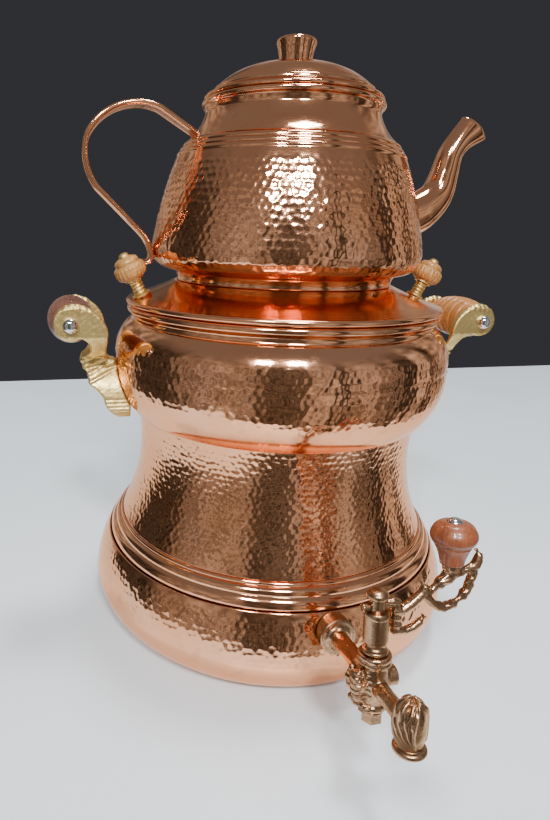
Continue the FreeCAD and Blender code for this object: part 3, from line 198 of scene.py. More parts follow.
# %% Mix the copper finishes
def copper(name, haze, tarnish=0.35, wipe=(1.0, 1.0, 6.0), dull_half=0.0):
    """Polished copper; dull_half is half the width of a dull band, in metres."""
    finish = Finish(name)
    warm = finish.noise(0.045, detail=4.0, distortion=0.4)
    spots = finish.noise(0.009, detail=5.0)
    wiped = finish.noise(0.0035, detail=6.0, stretch=wipe)
    bright = finish.blend(finish.span(warm, 0.35, 0.7), (0.93, 0.46, 0.26), (0.90, 0.40, 0.20))
    stained = finish.span(spots, 0.56, 0.80) * tarnish
    colour = finish.blend(stained, bright, (0.50, 0.20, 0.10))
    rough = haze + finish.span(wiped, 0.4, 0.8) * 0.05 + stained * 0.25
    if dull_half:
        aside = finish.add("SeparateXYZ", None, {0: finish.place()}, output=1).math("ABSOLUTE")
        dull = finish.span(aside, 0.7 * dull_half, dull_half, 1.0, 0.0)
        colour = finish.blend(dull * 0.75, colour, (0.40, 0.22, 0.15))
        rough = rough + dull * (0.16 + finish.span(wiped, 0.35, 0.7) * 0.25)
    finish.set(Base_Color=colour, Metallic=1.0, Roughness=rough, Specular_Tint=(1.0, 0.80, 0.66),
               Normal=finish.relief(wiped, 0.04, 0.0006))
    return finish.material


COPPER_HAMMERED = copper("hammered_copper", haze=0.08)
COPPER_SMOOTH = copper("smooth_copper", haze=0.07, tarnish=0.22)
COPPER_LID = copper("spun_copper", haze=0.12, tarnish=0.3, wipe=(3.0, 3.0, 1.0))
COPPER_PIPE = copper("copper_pipe", haze=0.07, tarnish=0.3)
COPPER_STRAP = copper("strap_copper", haze=0.10, tarnish=0.4, dull_half=0.0048)
print("copper finishes: 5")

# %% [markdown]
# ## Brass, chrome and gasket
# The side handles are rough yellow castings, and the tap is an older, browner one. Both blend a rubbed
# colour and a dull one in clouds, over fine pits. The nuts are chromed and the gasket is matt black.

# %% Mix the cast and plated finishes
def cast_finish(name, high, low, haze, depth=0.25):
    finish = Finish(name)
    pits = finish.noise(0.0016, detail=5.0)
    clouds = finish.noise(0.012, detail=4.0, distortion=0.6)
    rubbed = finish.span(clouds + pits * 0.35, 0.45, 0.95)
    colour = finish.blend(rubbed, low, high)
    rough = haze + (1.0 - rubbed) * 0.22
    finish.set(Base_Color=colour, Metallic=1.0, Roughness=rough, Specular_Tint=(1.0, 0.84, 0.66),
               Normal=finish.relief(pits, depth, 0.0008))
    return finish.material


YELLOW_BRASS = cast_finish("cast_yellow_brass", (0.90, 0.70, 0.31), (0.60, 0.43, 0.16), 0.33)
AGED_BRASS = cast_finish("aged_brass", (0.60, 0.38, 0.23), (0.28, 0.15, 0.08), 0.16, depth=0.12)
chrome = Finish("bright_chrome")
smudge = chrome.noise(0.004, detail=3.0)
chrome.set(Base_Color=chrome.blend(smudge, (0.62, 0.63, 0.64), (0.82, 0.83, 0.84)), Metallic=1.0,
           Roughness=0.08 + chrome.span(smudge, 0.4, 0.8) * 0.12)
CHROME = chrome.material
gasket = Finish("black_gasket")
gasket.set(Base_Color=gasket.blend(gasket.noise(0.002), (0.02, 0.02, 0.02), (0.05, 0.05, 0.05)),
           Roughness=0.7)
GASKET = gasket.material
print("cast and plated finishes: 4")

# %% [markdown]
# ## Turned wood
# The grips and knobs are hardwood, stained and varnished. Grain runs along the turning, so noise is
# squeezed across the axis and drawn out along it, and the turner's rings are in the mesh.

# %% Mix the wood finishes
def wood(name, pale, deep, along):
    finish = Finish(name)
    stretch = tuple(0.12 if axis == along else 1.0 for axis in range(3))
    grain = finish.noise(0.0012, detail=6.0, stretch=stretch, distortion=0.3)
    figure = finish.noise(0.009, detail=3.0, stretch=stretch)
    pores = finish.span(finish.noise(0.0005, detail=2.0, stretch=stretch), 0.62, 0.75)
    colour = finish.blend(finish.span(grain * 0.6 + figure * 0.5, 0.35, 0.75), deep, pale)
    colour = finish.blend(pores * 0.6, colour, tuple(0.35 * part for part in deep))
    finish.set(Base_Color=colour, Roughness=0.3 + grain * 0.2, Coat_Weight=0.35,
               Normal=finish.relief(grain, 0.12, 0.0004))
    return finish.material


GRIP_BROWN = wood("brown_grip_wood", (0.22, 0.075, 0.040), (0.085, 0.028, 0.016), along=1)
GRIP_AMBER = wood("amber_grip_wood", (0.56, 0.24, 0.06), (0.27, 0.085, 0.02), along=1)
ACORN_WOOD = wood("golden_knob_wood", (0.62, 0.33, 0.10), (0.32, 0.13, 0.03), along=2)
KNOB_WOOD = wood("red_brown_knob_wood", (0.36, 0.10, 0.035), (0.13, 0.032, 0.012), along=2)
print("wood finishes: 4")

# %% [markdown]
# ## Floor and studio light
# Copper shows its surroundings more than itself. The floor is a pale board that ends just in front of the
# tap, so that what faces down mirrors the board and the rest mirrors the room beyond it.

# %% Lay the board that serves as floor
floor_finish = Finish("pale_floor")
floor_cloud = floor_finish.noise(0.08, detail=3.0)
floor_finish.set(Base_Color=floor_finish.blend(floor_cloud, (0.79, 0.87, 0.93), (0.83, 0.91, 0.97)),
                 Roughness=0.32 + floor_cloud * 0.1)
BOARD = ((-0.34, -0.27), (0.17, -0.27), (1.14, 0.75), (-0.60, 0.75))
BOARD_THICK = 0.02
BOARD_EDGE = 0.002
floor_mesh = bpy.data.meshes.new("floor")
slab = bmesh.new()
top = slab.faces.new([slab.verts.new((x, y, 0.0)) for x, y in BOARD])
down = bmesh.ops.extrude_face_region(slab, geom=[top])
lower = [part for part in down["geom"] if isinstance(part, bmesh.types.BMVert)]
bmesh.ops.translate(slab, vec=(0.0, 0.0, -BOARD_THICK), verts=lower)
bmesh.ops.recalc_face_normals(slab, faces=slab.faces[:])
bmesh.ops.bevel(slab, geom=slab.edges[:], offset=BOARD_EDGE, segments=3, affect="EDGES")
slab.to_mesh(floor_mesh)
slab.free()
floor_mesh.materials.append(floor_finish.material)
floor = new_object("floor", floor_mesh)
print("floor board with", len(floor_mesh.polygons), "faces")

# %% Hang the soft boxes
MIDDLE = (0.0, 0.0, 0.2)


def soft_box(name, place, wide, high, power):
    data = bpy.data.lights.new(name, "AREA")
    data.shape = "RECTANGLE"
    data.size = wide
    data.size_y = high
    data.energy = power
    lamp = new_object(name, data)
    lamp.location = place
    lamp.rotation_euler = (Vector(MIDDLE) - Vector(place)).to_track_quat("-Z", "Y").to_euler()


soft_box("front_box_left", (-0.85, -1.55, 1.75), 0.30, 0.30, 33.0)
soft_box("front_box_right", (-0.15, -1.80, 1.85), 0.34, 0.30, 48.0)
soft_box("ceiling_box", (0.4, 0.3, 2.7), 0.5, 0.5, 46.0)
print("lamps:", len(bpy.data.lights))

# %% [markdown]
# ## The room in the mirrors
# Hammer marks vanish in an even room, so the world has darker and lighter walls by bearing, broken up by
# a noise, under an even ceiling. The camera itself sees a plain dark backdrop.

# %% Paint the room
class Room(Finish):
    """The world's nodes with the same arithmetic as a finish."""

    def __init__(self):
        world = bpy.data.worlds.new("studio")
        world.use_nodes = True
        bpy.context.scene.world = world
        self.tree = world.node_tree
        self.shader = self.tree.nodes["Background"]


# How bright the walls are, by the bearing in degrees: 0 is where the tap points, 90 is the spout's side
WALLS = ((-180, 0.12), (-172, 0.42), (-132, 0.42), (-127, 0.06), (-92, 0.06), (-88, 0.18), (-60, 0.40),
         (-34, 0.34), (-28, 0.10), (-2, 0.12), (3, 0.48), (20, 0.42), (22, 0.05), (28, 0.05), (30, 0.44),
         (48, 0.40), (52, 0.20), (66, 0.20), (69, 0.06), (80, 0.06), (83, 0.48), (94, 0.48), (96, 0.07),
         (102, 0.07), (105, 0.42), (165, 0.42), (174, 0.12))
CEILING = 0.22
BACKDROP = 0.035
room = Room()
facing = room.add("TexCoord", output="Generated")
east, north, above = [room.add("SeparateXYZ", None, {0: facing}, output=axis) for axis in range(3)]
bearing = east.math("ARCTAN2", 0.0 - north) / (2 * math.pi) + 0.5
walls = room.add("ValToRGB", {"stops": [(turn / 360 + 0.5, (level, 0.97 * level, 0.93 * level))
                                        for turn, level in WALLS]}, {0: bearing})
clutter = room.add("TexNoise", None, {"Vector": facing, "Scale": 9.0, "Detail": 2.5})
patches = room.span(clutter, 0.36, 0.66, 0.35, 1.75)
walls = room.add("VectorMath", {"operation": "SCALE"}, {0: walls, "Scale": patches})
overhead = room.span(above, 0.42, 0.70)
mirrored = room.blend(overhead, walls, (CEILING, CEILING, 1.04 * CEILING))
seen = room.add("LightPath", output="Is Camera Ray")
room.feed(room.shader.inputs["Color"], room.blend(seen, mirrored, (BACKDROP, BACKDROP, 1.15 * BACKDROP)))
print("room painted with", len(WALLS), "bearings")

# %% [markdown]
# ## Turned and spun forms
# Nearly every copper piece is a sheet spun round one axis. trace walks an outline of straight runs and
# arcs in millimetres and divides it finely. revolve turns the outline into a mesh, and can push each
# point along the outline's own normal, so that hammer marks, ribs and dents are real geometry.

# %% Walk an outline
MM = 0.001


def full_turn(count):
    """Angles at even steps round a circle."""
    return np.linspace(0.0, 2 * math.pi, count, endpoint=False)


def run_between(start, end, count):
    """Points along a straight run, without the first."""
    return [(start[0] + (end[0] - start[0]) * i / count, start[1] + (end[1] - start[1]) * i / count)
            for i in range(1, count + 1)]


def arc_between(start, via, end, count):
    """Points along the circle through three points, without the first."""
    (ax, ay), (bx, by), (cx, cy) = start, via, end
    d = 2 * (ax * (by - cy) + bx * (cy - ay) + cx * (ay - by))
    if abs(d) < 1e-9:
        return run_between(start, end, count)
    a2, b2, c2 = ax * ax + ay * ay, bx * bx + by * by, cx * cx + cy * cy
    ox = (a2 * (by - cy) + b2 * (cy - ay) + c2 * (ay - by)) / d
    oy = (a2 * (cx - bx) + b2 * (ax - cx) + c2 * (bx - ax)) / d
    radius = math.hypot(ax - ox, ay - oy)
    first, middle, last = [math.atan2(y - oy, x - ox) for x, y in (start, via, end)]
    sweep = (last - first) % (2 * math.pi)
    if (middle - first) % (2 * math.pi) > sweep:
        sweep -= 2 * math.pi
    turns = [first + sweep * i / count for i in range(1, count + 1)]
    return [(ox + radius * math.cos(turn), oy + radius * math.sin(turn)) for turn in turns]


def trace(start, *legs, step=1.0):
    """Points along an outline; a leg is its end, or a point on the way and its end."""
    points = [start]
    for leg in legs:
        here = points[-1]
        if isinstance(leg[0], tuple):
            via, end = leg
            length = math.dist(here, via) + math.dist(via, end)
            points += arc_between(here, via, end, max(2, round(length / step)))
        else:
            points += run_between(here, leg, max(1, round(math.dist(here, leg) / step)))
    return points


def normals_of(points):
    """Outward normals of an outline that runs upwards on its outer side."""
    line = np.array(points)
    run = np.gradient(line, axis=0)
    run /= np.maximum(np.linalg.norm(run, axis=1, keepdims=True), 1e-9)
    return np.column_stack([run[:, 1], -run[:, 0]])


def ramp(value, start, length):
    """From 0 at a start to 1 a length further on."""
    return np.clip((value - start) / length, 0, 1)


def window(value, low, high, soft):
    """1 between two limits, 0 beyond them, with soft ends."""
    return ramp(value, low, soft) * ramp(-value, -high, soft)


print("arc test:", [round(v, 3) for v in arc_between((1, 0), (0.7071, 0.7071), (0, 1), 2)[0]])

# %% Turn an outline into a mesh
def add_piece(name, points, faces, finish, body):
    """A new object in metres from points in millimetres, riding on a body."""
    mesh = bpy.data.meshes.new(name)
    mesh.from_pydata((np.asarray(points) * MM).tolist(), [], faces)
    mesh.materials.append(finish)
    mesh.validate()
    mesh.shade_smooth()
    piece = new_object(name, mesh)
    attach(piece, body)
    return piece


def ring_faces(first, second, columns):
    """Faces between two rings, either of which may be one point on the axis."""
    faces = []
    if len(first) == len(second) == 1:
        return faces
    for here in range(columns):
        there = (here + 1) % columns
        if len(first) == 1:
            faces.append((first[0], second[there], second[here]))
        elif len(second) == 1:
            faces.append((first[here], first[there], second[0]))
        else:
            faces.append((first[here], first[there], second[there], second[here]))
    return faces


def revolve(outline, columns, push=None):
    """Points and faces of an outline turned round Z; push moves points along its normal."""
    turn = full_turn(columns)
    sides = normals_of(outline)
    points, rings = [], []
    for place, (radius, height) in enumerate(outline):
        start = len(points)
        if radius < 1e-6:
            points.append((0.0, 0.0, height))
            rings.append([start])
            continue
        out = np.zeros(columns) if push is None else push[place]
        across = radius + out * sides[place][0]
        up = height + out * sides[place][1]
        points += list(zip(across * np.cos(turn), across * np.sin(turn), up))
        rings.append(range(start, start + columns))
    pairs = list(zip(rings, rings[1:]))
    if len(rings[0]) > 1:
        pairs.append((rings[-1], rings[0]))
    faces = [face for first, second in pairs for face in ring_faces(first, second, columns)]
    return points, faces


print("revolve test:", len(revolve([(1, 0), (1, 1), (0, 1)], 8)[1]), "faces")

# %% [markdown]
# ## Hammer marks
# A smith walks round the sheet in rows, and each blow leaves a shallow round dish about five millimetres
# across. Every point of the mesh takes the deepest of the dishes around it, so the ridges between them
# come by themselves. Each blow is a little off, harder or softer, and tilted, which breaks reflections up.

# %% Strike the hammer marks
DISH_WIDTH = 0.55
DISH_SINK = 0.47


def distances(line):
    """How far each point of an outline is from its start."""
    return np.concatenate([[0.0], np.cumsum(np.linalg.norm(np.diff(line, axis=0), axis=1))])


def hammered(outline, columns, blows, row, depth, top, bottom, seed):
    """How far each point moves: dishes in rows between two distances along the outline."""
    rng = np.random.default_rng(seed)
    line = np.array(outline)
    along = distances(line)
    turn = np.linspace(0.0, blows, columns, endpoint=False)
    rows = int(along[-1] / row) + 6
    off_side = rng.uniform(-0.16, 0.16, (rows, blows))
    off_along = rng.uniform(-0.16, 0.16, (rows, blows))
    lean_side = rng.normal(0.0, 0.03, (rows, blows))
    lean_along = rng.normal(0.0, 0.03, (rows, blows))
    force = rng.uniform(0.7, 1.3, (rows, blows))
    level = (along / row + 2.0)[:, None]
    pitch = (2 * math.pi * line[:, 0] / blows)[:, None]
    push = np.full((len(line), columns), np.inf)
    for step in (-1, 0, 1):
        k = np.clip(np.rint(level).astype(int) + step, 0, rows - 1)
        shift = (k % 2) * 0.5
        for hop in (-1, 0, 1):
            j = np.rint(turn[None, :] - shift).astype(int) + hop
            pick = (np.broadcast_to(k, push.shape), j % blows)
            side = (turn[None, :] - shift - j - off_side[pick]) * pitch
            climb = (level - k - off_along[pick]) * row
            gap = (side ** 2 + climb ** 2) / (DISH_WIDTH * pitch) ** 2
            dish = depth * (gap - DISH_SINK * force[pick])
            dish = dish + lean_side[pick] * side + lean_along[pick] * climb
            push = np.minimum(push, dish)
    return push * window(along, bottom, top, 3.0)[:, None]


def dented(outline, columns, size, seed):
    """Slow unevenness of a sheet worked by hand, in millimetres."""
    rng = np.random.default_rng(seed)
    along = distances(np.array(outline))[:, None]
    turn = full_turn(columns)[None, :]
    push = np.zeros((len(outline), columns))
    for _ in range(14):
        waves = rng.integers(2, 17)
        climb = rng.uniform(-0.16, 0.16)
        swell = rng.normal(0, size / 4)
        push += swell * np.sin(waves * turn + climb * along + rng.uniform(0, 6.3))
    return push


print("distance test:", distances([(0, 0), (3, 4)])[-1])

# %% Make a sheet from its outer side
def copper_sheet(name, outer, wall, finish, body, columns, hammer=None, dent=0.03, edge=()):
    """A sheet of copper: its outer side, its edge, and its smooth inner side."""
    line = np.array(outer)
    inner = line - wall * normals_of(outer)
    keep = [0] + [i for i in range(2, len(inner) - 2, 3)] + [len(inner) - 1]
    inner = [tuple(inner[i]) for i in keep if inner[i][0] > 0]
    if outer[0][0] < 1e-6:
        inner = [(0.0, outer[0][1] + wall)] + inner[1:]
    outline = list(outer) + list(edge) + inner[::-1]
    push = np.zeros((len(outline), columns))
    push[:len(outer)] = dented(outer, columns, dent, seed=len(name))
    if hammer:
        push[:len(outer)] += hammered(outer, columns, seed=len(name) + 3, **hammer)
    points, faces = revolve(outline, columns, push)
    piece = add_piece(name, points, faces, finish, body)
    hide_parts(name.replace("_sheet", ""))
    print("%s: %d points" % (name, len(points)))
    return piece


# %% [markdown]
# ## The vessel's four sheets
# Belly, beaded ring, waist and bowl are spun separately and soldered where they meet. Each hammered sheet
# says between which two distances along its outline the blows fall: above the belly's widest place, all
# over the waist, and between two smooth bands of the bowl. The belly's sheet is the vessel's floor too.

# %% Spin and hammer the belly
VESSEL_WALL = 1.5
FINE = 0.85
belly_outline = (trace((0.0, 0.0), (105.0, 0.0), step=13.0)
                 + trace((105.0, 0.0), ((129.5, 9.9), (140.0, 33.0)), step=1.6)[1:]
                 + trace((140.0, 33.0), ((135.8, 53.2), (129.4, 66.7)), step=FINE)[1:])
belly = copper_sheet("base_pan_sheet", belly_outline, VESSEL_WALL, COPPER_HAMMERED, "vessel", 880,
                     hammer={"blows": 176, "row": 4.1, "depth": 0.21, "bottom": 156.0, "top": 190.0})
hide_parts("base_floor")

# %% Spin the beads and hammer the waist
DIAGONAL = 0.7071


def beads(start, *ends, step=0.35):
    """Round beads side by side: each end comes with how far its bead bulges."""
    points = [start]
    for across, up, bulge in ends:
        here = points[-1]
        middle = ((here[0] + across) / 2 + bulge * DIAGONAL, (here[1] + up) / 2 + bulge * DIAGONAL)
        points += trace(here, (middle, (across, up)), step=step)[1:]
    return points


bead_outline = beads((128.0, 66.7), (123.8, 74.2, 1.3), (120.0, 79.4, 1.3), (118.4, 82.0, 0.8))
copper_sheet("bead_ring_sheet", bead_outline, VESSEL_WALL, COPPER_SMOOTH, "vessel", 400, dent=0.01)
waist_outline = trace((118.4, 82.0), ((108.85, 105.56), (103.0, 144.0)), ((103.6, 154.5), (105.0, 165.0)),
                      step=0.8)
copper_sheet("waist_shell_sheet", waist_outline, VESSEL_WALL, COPPER_HAMMERED, "vessel", 800,
             hammer={"blows": 160, "row": 3.6, "depth": 0.17, "bottom": 1.0, "top": 84.5})

# %% Spin and hammer the bowl
bowl_outline = (trace((103.5, 165.0), (108.2, 165.0), step=1.2)
                + trace((108.2, 165.0), ((116.63, 177.8), (120.6, 205.0)), step=FINE)[1:]
                + trace((120.6, 205.0), ((117.02, 223.02), (109.4, 231.5)), step=FINE)[1:]
                + [(109.4, 235.6)])
bowl_edge = trace((109.4, 235.6), ((112.1, 238.3), (109.4, 241.0)), step=0.5)[1:] + [(107.9, 241.0)]
copper_sheet("bowl_sheet", bowl_outline, VESSEL_WALL, COPPER_HAMMERED, "vessel", 800, edge=bowl_edge,
             hammer={"blows": 160, "row": 4.0, "depth": 0.18, "bottom": 22.0, "top": 64.0})

# %% [markdown]
# ## The lid that carries the teapot
# This lid is spun, not hammered. Its cone still shows the rings of the spinning tool near the rim, and
# one small hole lets steam out beside the teapot.

# %% Spin the lid
def spun_rings(outline, columns, inner, outer, size, pitch):
    """Fine rings left by the tool between two radii."""
    radius = np.array(outline)[:, 0]
    inside = ramp(radius, inner, 2.0) * ramp(-radius, -outer, 1.0)
    return np.repeat((size * np.sin(2 * math.pi * radius / pitch) * inside)[:, None], columns, axis=1)


lid_outline = trace((106.0, 241.3), (110.7, 241.3), ((112.7, 243.3), (110.7, 245.3)), step=0.5)
lid_outline += trace((110.7, 245.3), ((94.6, 250.67), (78.5, 257.5)), (73.65, 257.5), step=0.55)[1:]
lid_outline += trace((73.65, 257.5), ((73.0, 256.85), (73.65, 256.2)), step=0.3)[1:]
lid_outline += trace((73.65, 256.2), (77.85, 256.2), ((93.95, 249.37), (109.4, 244.0)), (109.4, 242.6),
                     (106.0, 242.6), step=2.0)[1:-1]
lid_columns = 420
lid_push = dented(lid_outline, lid_columns, 0.02, seed=8)
lid_push += spun_rings(lid_outline, lid_columns, 99.0, 110.4, 0.05, 1.9)
lid_sheet = add_piece("collar_lid_sheet", *revolve(lid_outline, lid_columns, lid_push), COPPER_LID, "collar")
print("lid outline:", len(lid_outline), "points")

# %% Drill the steam hole
DRILL_LENGTH = 20.0


def pierce(piece, place, radius):
    """Cut a round upright hole right through a sheet."""
    bit_mesh = bpy.data.meshes.new("bit")
    bit = bmesh.new()
    bmesh.ops.create_cone(bit, cap_ends=True, segments=32, radius1=radius * MM, radius2=radius * MM,
                          depth=DRILL_LENGTH * MM)
    bmesh.ops.translate(bit, verts=bit.verts, vec=Vector(place) * MM)
    bit.to_mesh(bit_mesh)
    bit.free()
    tool = new_object("bit", bit_mesh)
    cut = piece.modifiers.new("hole", "BOOLEAN")
    cut.operation = "DIFFERENCE"
    cut.solver = "EXACT"
    cut.object = tool
    cut_mesh = bpy.data.meshes.new_from_object(piece.evaluated_get(bpy.context.evaluated_depsgraph_get()))
    piece.modifiers.clear()
    piece.data = cut_mesh
    bpy.data.objects.remove(tool)


STEAM_REACH = 82.5
steam = math.radians(-66.0)
pierce(lid_sheet, (STEAM_REACH * math.cos(steam), STEAM_REACH * math.sin(steam), 255.0), 2.2)
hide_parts("collar_lid")
print("lid:", len(lid_sheet.data.vertices), "points")

# %% [markdown]
# ## The teapot
# Its body is hammered from the base edge up to three fine beads round the shoulder, and smooth above
# them. The foot is a spun ring with a hollow side that drops into the lid's opening.

# %% Spin and hammer the teapot
POT_FLOOR = 265.5
POT_WALL = 1.3


def lifted(points, rise):
    return [(across, up + rise) for across, up in points]


pot_outline = trace((82.0, 0.0), ((90.86, 4.2), (94.3, 15.0)), ((87.46, 43.4), (77.2, 71.8)), step=FINE)
ridge_ends = [(77.2 - 2.1 * count, 71.8 + 2.94 * count, 0.7) for count in (1, 2, 3)]
pot_outline += beads((77.2, 71.8), *ridge_ends)[1:]
pot_outline += trace((70.9, 80.62), ((63.42, 88.34), (58.0, 99.0)), (58.9, 102.6), step=1.2)[1:]
pot_edge = trace((58.9, 102.6), ((60.6, 104.3), (58.9, 106.0)), step=0.4)[1:] + [(57.6, 106.0)]
copper_sheet("teapot_body_sheet", lifted(pot_outline, POT_FLOOR), POT_WALL, COPPER_HAMMERED, "teapot", 580,
             edge=lifted(pot_edge, POT_FLOOR),
             hammer={"blows": 116, "row": 4.2, "depth": 0.24, "bottom": 6.0, "top": 76.5})
foot_outline = trace((72.3, -13.7), (72.3, -7.7), (76.3, -7.7), ((77.41, -2.31), (80.0, 0.0)), step=0.8)
copper_sheet("teapot_foot_sheet", lifted(foot_outline, POT_FLOOR), POT_WALL, COPPER_SMOOTH, "teapot", 300,
             dent=0.01)

# %% [markdown]
# ## Turned pieces along other axes
# Grips and knobs are turned round axes of their own. axis_frame lays a piece's own Z axis along any
# direction, and add_turned builds the piece there. All pieces of the tap share one frame, which tips up
# by eight degrees towards its mouth.

# %% Lay a turned piece along any axis
def axis_frame(origin, direction):
    """Lay a piece's own Z axis along a direction through a point."""
    turn = Vector(direction).to_track_quat("Z", "Y").to_matrix().to_4x4()
    return Matrix.Translation(Vector(origin)) @ turn


def moved(points, where):
    """Points after a turn and shift."""
    spots = np.column_stack([np.asarray(points, float), np.ones(len(points))])
    return (spots @ np.array(where).T)[:, :3]


def add_turned(name, outline, columns, finish, body, where, node, push=None):
    """Turn a piece, lay it where it belongs, and let it stand for its node."""
    points, faces = revolve(outline, columns, push)
    piece = add_piece(name, moved(points, where), faces, finish, body)
    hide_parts(node)


def ribs(outline, columns, count, depth, low, high):
    """Upright ribs round a turned piece between two heights."""
    height = np.array(outline)[:, 1]
    inside = window(height, low, high, 1.5)
    wave = np.abs(np.sin(full_turn(columns) * count / 2))
    return depth * inside[:, None] * (wave[None, :] - 0.6)


TILT = math.radians(8.0)
TAP = Matrix(((1, 0, 0, 0),
              (0, math.cos(TILT), math.sin(TILT), -184.0),
              (0, -math.sin(TILT), math.cos(TILT), 62.6),
              (0, 0, 0, 1)))
print("tap frame leans %.1f degrees" % math.degrees(TILT))

# %% [markdown]
# ## The teapot's lid
# The lid is spun smooth: a rolled rim, a bead, a low dome and a copper knob that flares upwards like a
# small drum.

# %% Spin the teapot's lid
COVER_SEAT = 371.8
dome_top = 20.6
dome_half = (51.6 + (11.8 - 51.6) * 0.33, 7.6 + (dome_top - 7.6) * 0.67)
cover_outline = trace((54.8, 0.0), (57.8, 0.0), ((59.2, 1.4), (57.8, 2.8)), (53.6, 4.8),
                      ((53.1, 6.7), (51.6, 7.6)), (dome_half, (11.8, dome_top)), (2.1, dome_top), step=0.7)
cover_outline += trace((2.1, dome_top - 1.3), (11.8, dome_top - 1.3),
                       ((dome_half[0] - 0.9, dome_half[1] - 0.9), (50.7, 6.7)), (50.3, 2.6), (54.8, 1.3),
                       step=2.5)
cover_columns = 300
cover_push = dented(cover_outline, cover_columns, 0.02, seed=21)
add_turned("teapot_lid_sheet", cover_outline, cover_columns, COPPER_SMOOTH, "cover",
           Matrix.Translation((0, 0, COVER_SEAT)), node="teapot_lid", push=cover_push)
print("dome ends at %.1f mm" % (COVER_SEAT + dome_top))

# %% Spin the knob of the lid
TOP_HEIGHT = 17.0
top_outline = trace((2.1, 0.0), (11.5, 0.0), ((12.1, 1.2), (11.5, 2.4)), (10.8, 2.5),
                    ((11.3, 9.0), (12.9, 14.3)), ((12.4, 16.3), (10.4, TOP_HEIGHT)), (8.6, TOP_HEIGHT),
                    ((4.0, 16.55), (0.0, 16.45)), step=0.5)
top_outline += [(0.0, 10.3), (2.1, 10.3)]
add_turned("teapot_lid_knob_turning", top_outline, 120, COPPER_SMOOTH, "cover",
           Matrix.Translation((0, 0, COVER_SEAT + dome_top)), node="teapot_lid_knob")
print("lid knob ends at %.1f mm" % (COVER_SEAT + dome_top + TOP_HEIGHT))

# %% [markdown]
# ## The swan-neck spout
# The spout is a tube through oval sections that follow a smooth curve. The mouth is cut on a slant, and
# its lower side is drawn out into a pointed lip, so the last sections are egg-shaped.

# %% Draw the spout
def smooth_rows(rows, count):
    """Rows of numbers along a smooth curve through the given rows."""
    rows = np.array(rows, float)
    padded = np.vstack([2 * rows[0] - rows[1], rows, 2 * rows[-1] - rows[-2]])
    result = []
    for spot in np.linspace(0, len(rows) - 1.0001, count):
        k = int(spot)
        t = spot - k
        a, b, c, d = padded[k:k + 4]
        result.append(0.5 * (2 * b + (c - a) * t + (2 * a - 5 * b + 4 * c - d) * t * t
                             + (3 * b - a - 3 * c + d) * t ** 3))
    return np.array(result)


def tube_faces(rings, columns, ends=()):
    """Faces between rings of points in a row; ends lists rings to close with a cap."""
    faces = []
    for ring in range(rings - 1):
        first = range(ring * columns, (ring + 1) * columns)
        second = range((ring + 1) * columns, (ring + 2) * columns)
        faces += ring_faces(first, second, columns)
    for ring in ends:
        faces.append(tuple(range(ring * columns, (ring + 1) * columns)))
    return faces


# Reach, rise above the pot's floor, half length, half width, pitch in degrees
SPOUT_SECTIONS = [
    (79.0, 38.0, 18.5, 18.5, 0.0), (92.0, 38.6, 15.6, 15.6, 6.0), (106.0, 44.6, 14.2, 14.2, 30.0),
    (117.0, 56.0, 11.8, 11.8, 60.0), (120.6, 70.0, 9.9, 9.9, 84.0), (123.6, 83.0, 8.7, 8.7, 70.0),
    (130.0, 92.6, 8.9, 8.0, 52.0), (139.8, 100.8, 12.0, 7.5, 55.0),
]
way = smooth_rows(SPOUT_SECTIONS, 90)
BEAK_START, BEAK_LENGTH = 74, 15.0
spout_columns = 96
around = full_turn(spout_columns)


def spout_ring(row, wall, beak):
    """One section of the spout; beak draws out its lip, from 0 to 1."""
    reach, rise, length, width, pitch = row
    slope = math.radians(pitch)
    lower = np.cos(around)
    along = (length - wall) * lower
    side = (width - wall) * np.sin(around) * (1.0 - 0.42 * beak * np.clip(lower, 0, 1) ** 1.5)
    lift = 1.5 * beak * np.clip(lower - 0.6, 0, 1)
    across = reach + along * math.sin(slope) + lift * math.cos(slope)
    up = rise - along * math.cos(slope) + lift * math.sin(slope)
    return np.column_stack([across, side, up + POT_FLOOR])


beaks = ramp(np.arange(len(way)), BEAK_START, BEAK_LENGTH) ** 1.5
rings = [spout_ring(row, 0.0, beak) for row, beak in zip(way, beaks)]
rim = [spout_ring(way[-1], 0.5, 1.0) + np.array((0.35, 0.0, 0.45))]
inside_rings = [spout_ring(row, 1.2, beak) for row, beak in zip(way[::-3], beaks[::-3])]
sections = rings + rim + inside_rings
spout = add_piece("teapot_spout_sheet", np.vstack(sections), tube_faces(len(sections), spout_columns),
                  COPPER_SMOOTH, "teapot")
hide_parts("teapot_spout")
print("spout:", len(sections), "sections")

# %% [markdown]
# ## The strap handle
# The strap is a band of copper whose edges are rolled over, so its outer face has a shallow channel
# between two bright rounded edges. Its section is carried along the outline of the handle.

# %% Bend the strap
strap_way = trace((-64.5, 85.6), (-89.0, 99.4), ((-116.0, 98.8), (-136.4, 81.3)),
                  ((-138.4, 67.5), (-131.8, 49.5)), (-104.0, 22.6), ((-98.6, 15.0), (-96.8, 8.5)),
                  ((-97.6, 5.9), (-98.9, 5.2)), (-104.5, 6.2), step=1.1)
strap_line = np.array(strap_way)
for _ in range(3):
    strap_line[1:-1] = (strap_line[:-2] + 2 * strap_line[1:-1] + strap_line[2:]) / 4
strap_in = -normals_of(strap_line)


def strap_edge(side):
    """The rolled edge on one side of the strap, from its outer face to its inner face."""
    turns = np.radians(np.linspace(-130.0, 110.0, 11))
    edge = [(side * (6.35 + 1.6 * math.cos(turn)), 1.35 + 1.6 * math.sin(turn)) for turn in turns]
    return edge if side > 0 else edge[::-1]


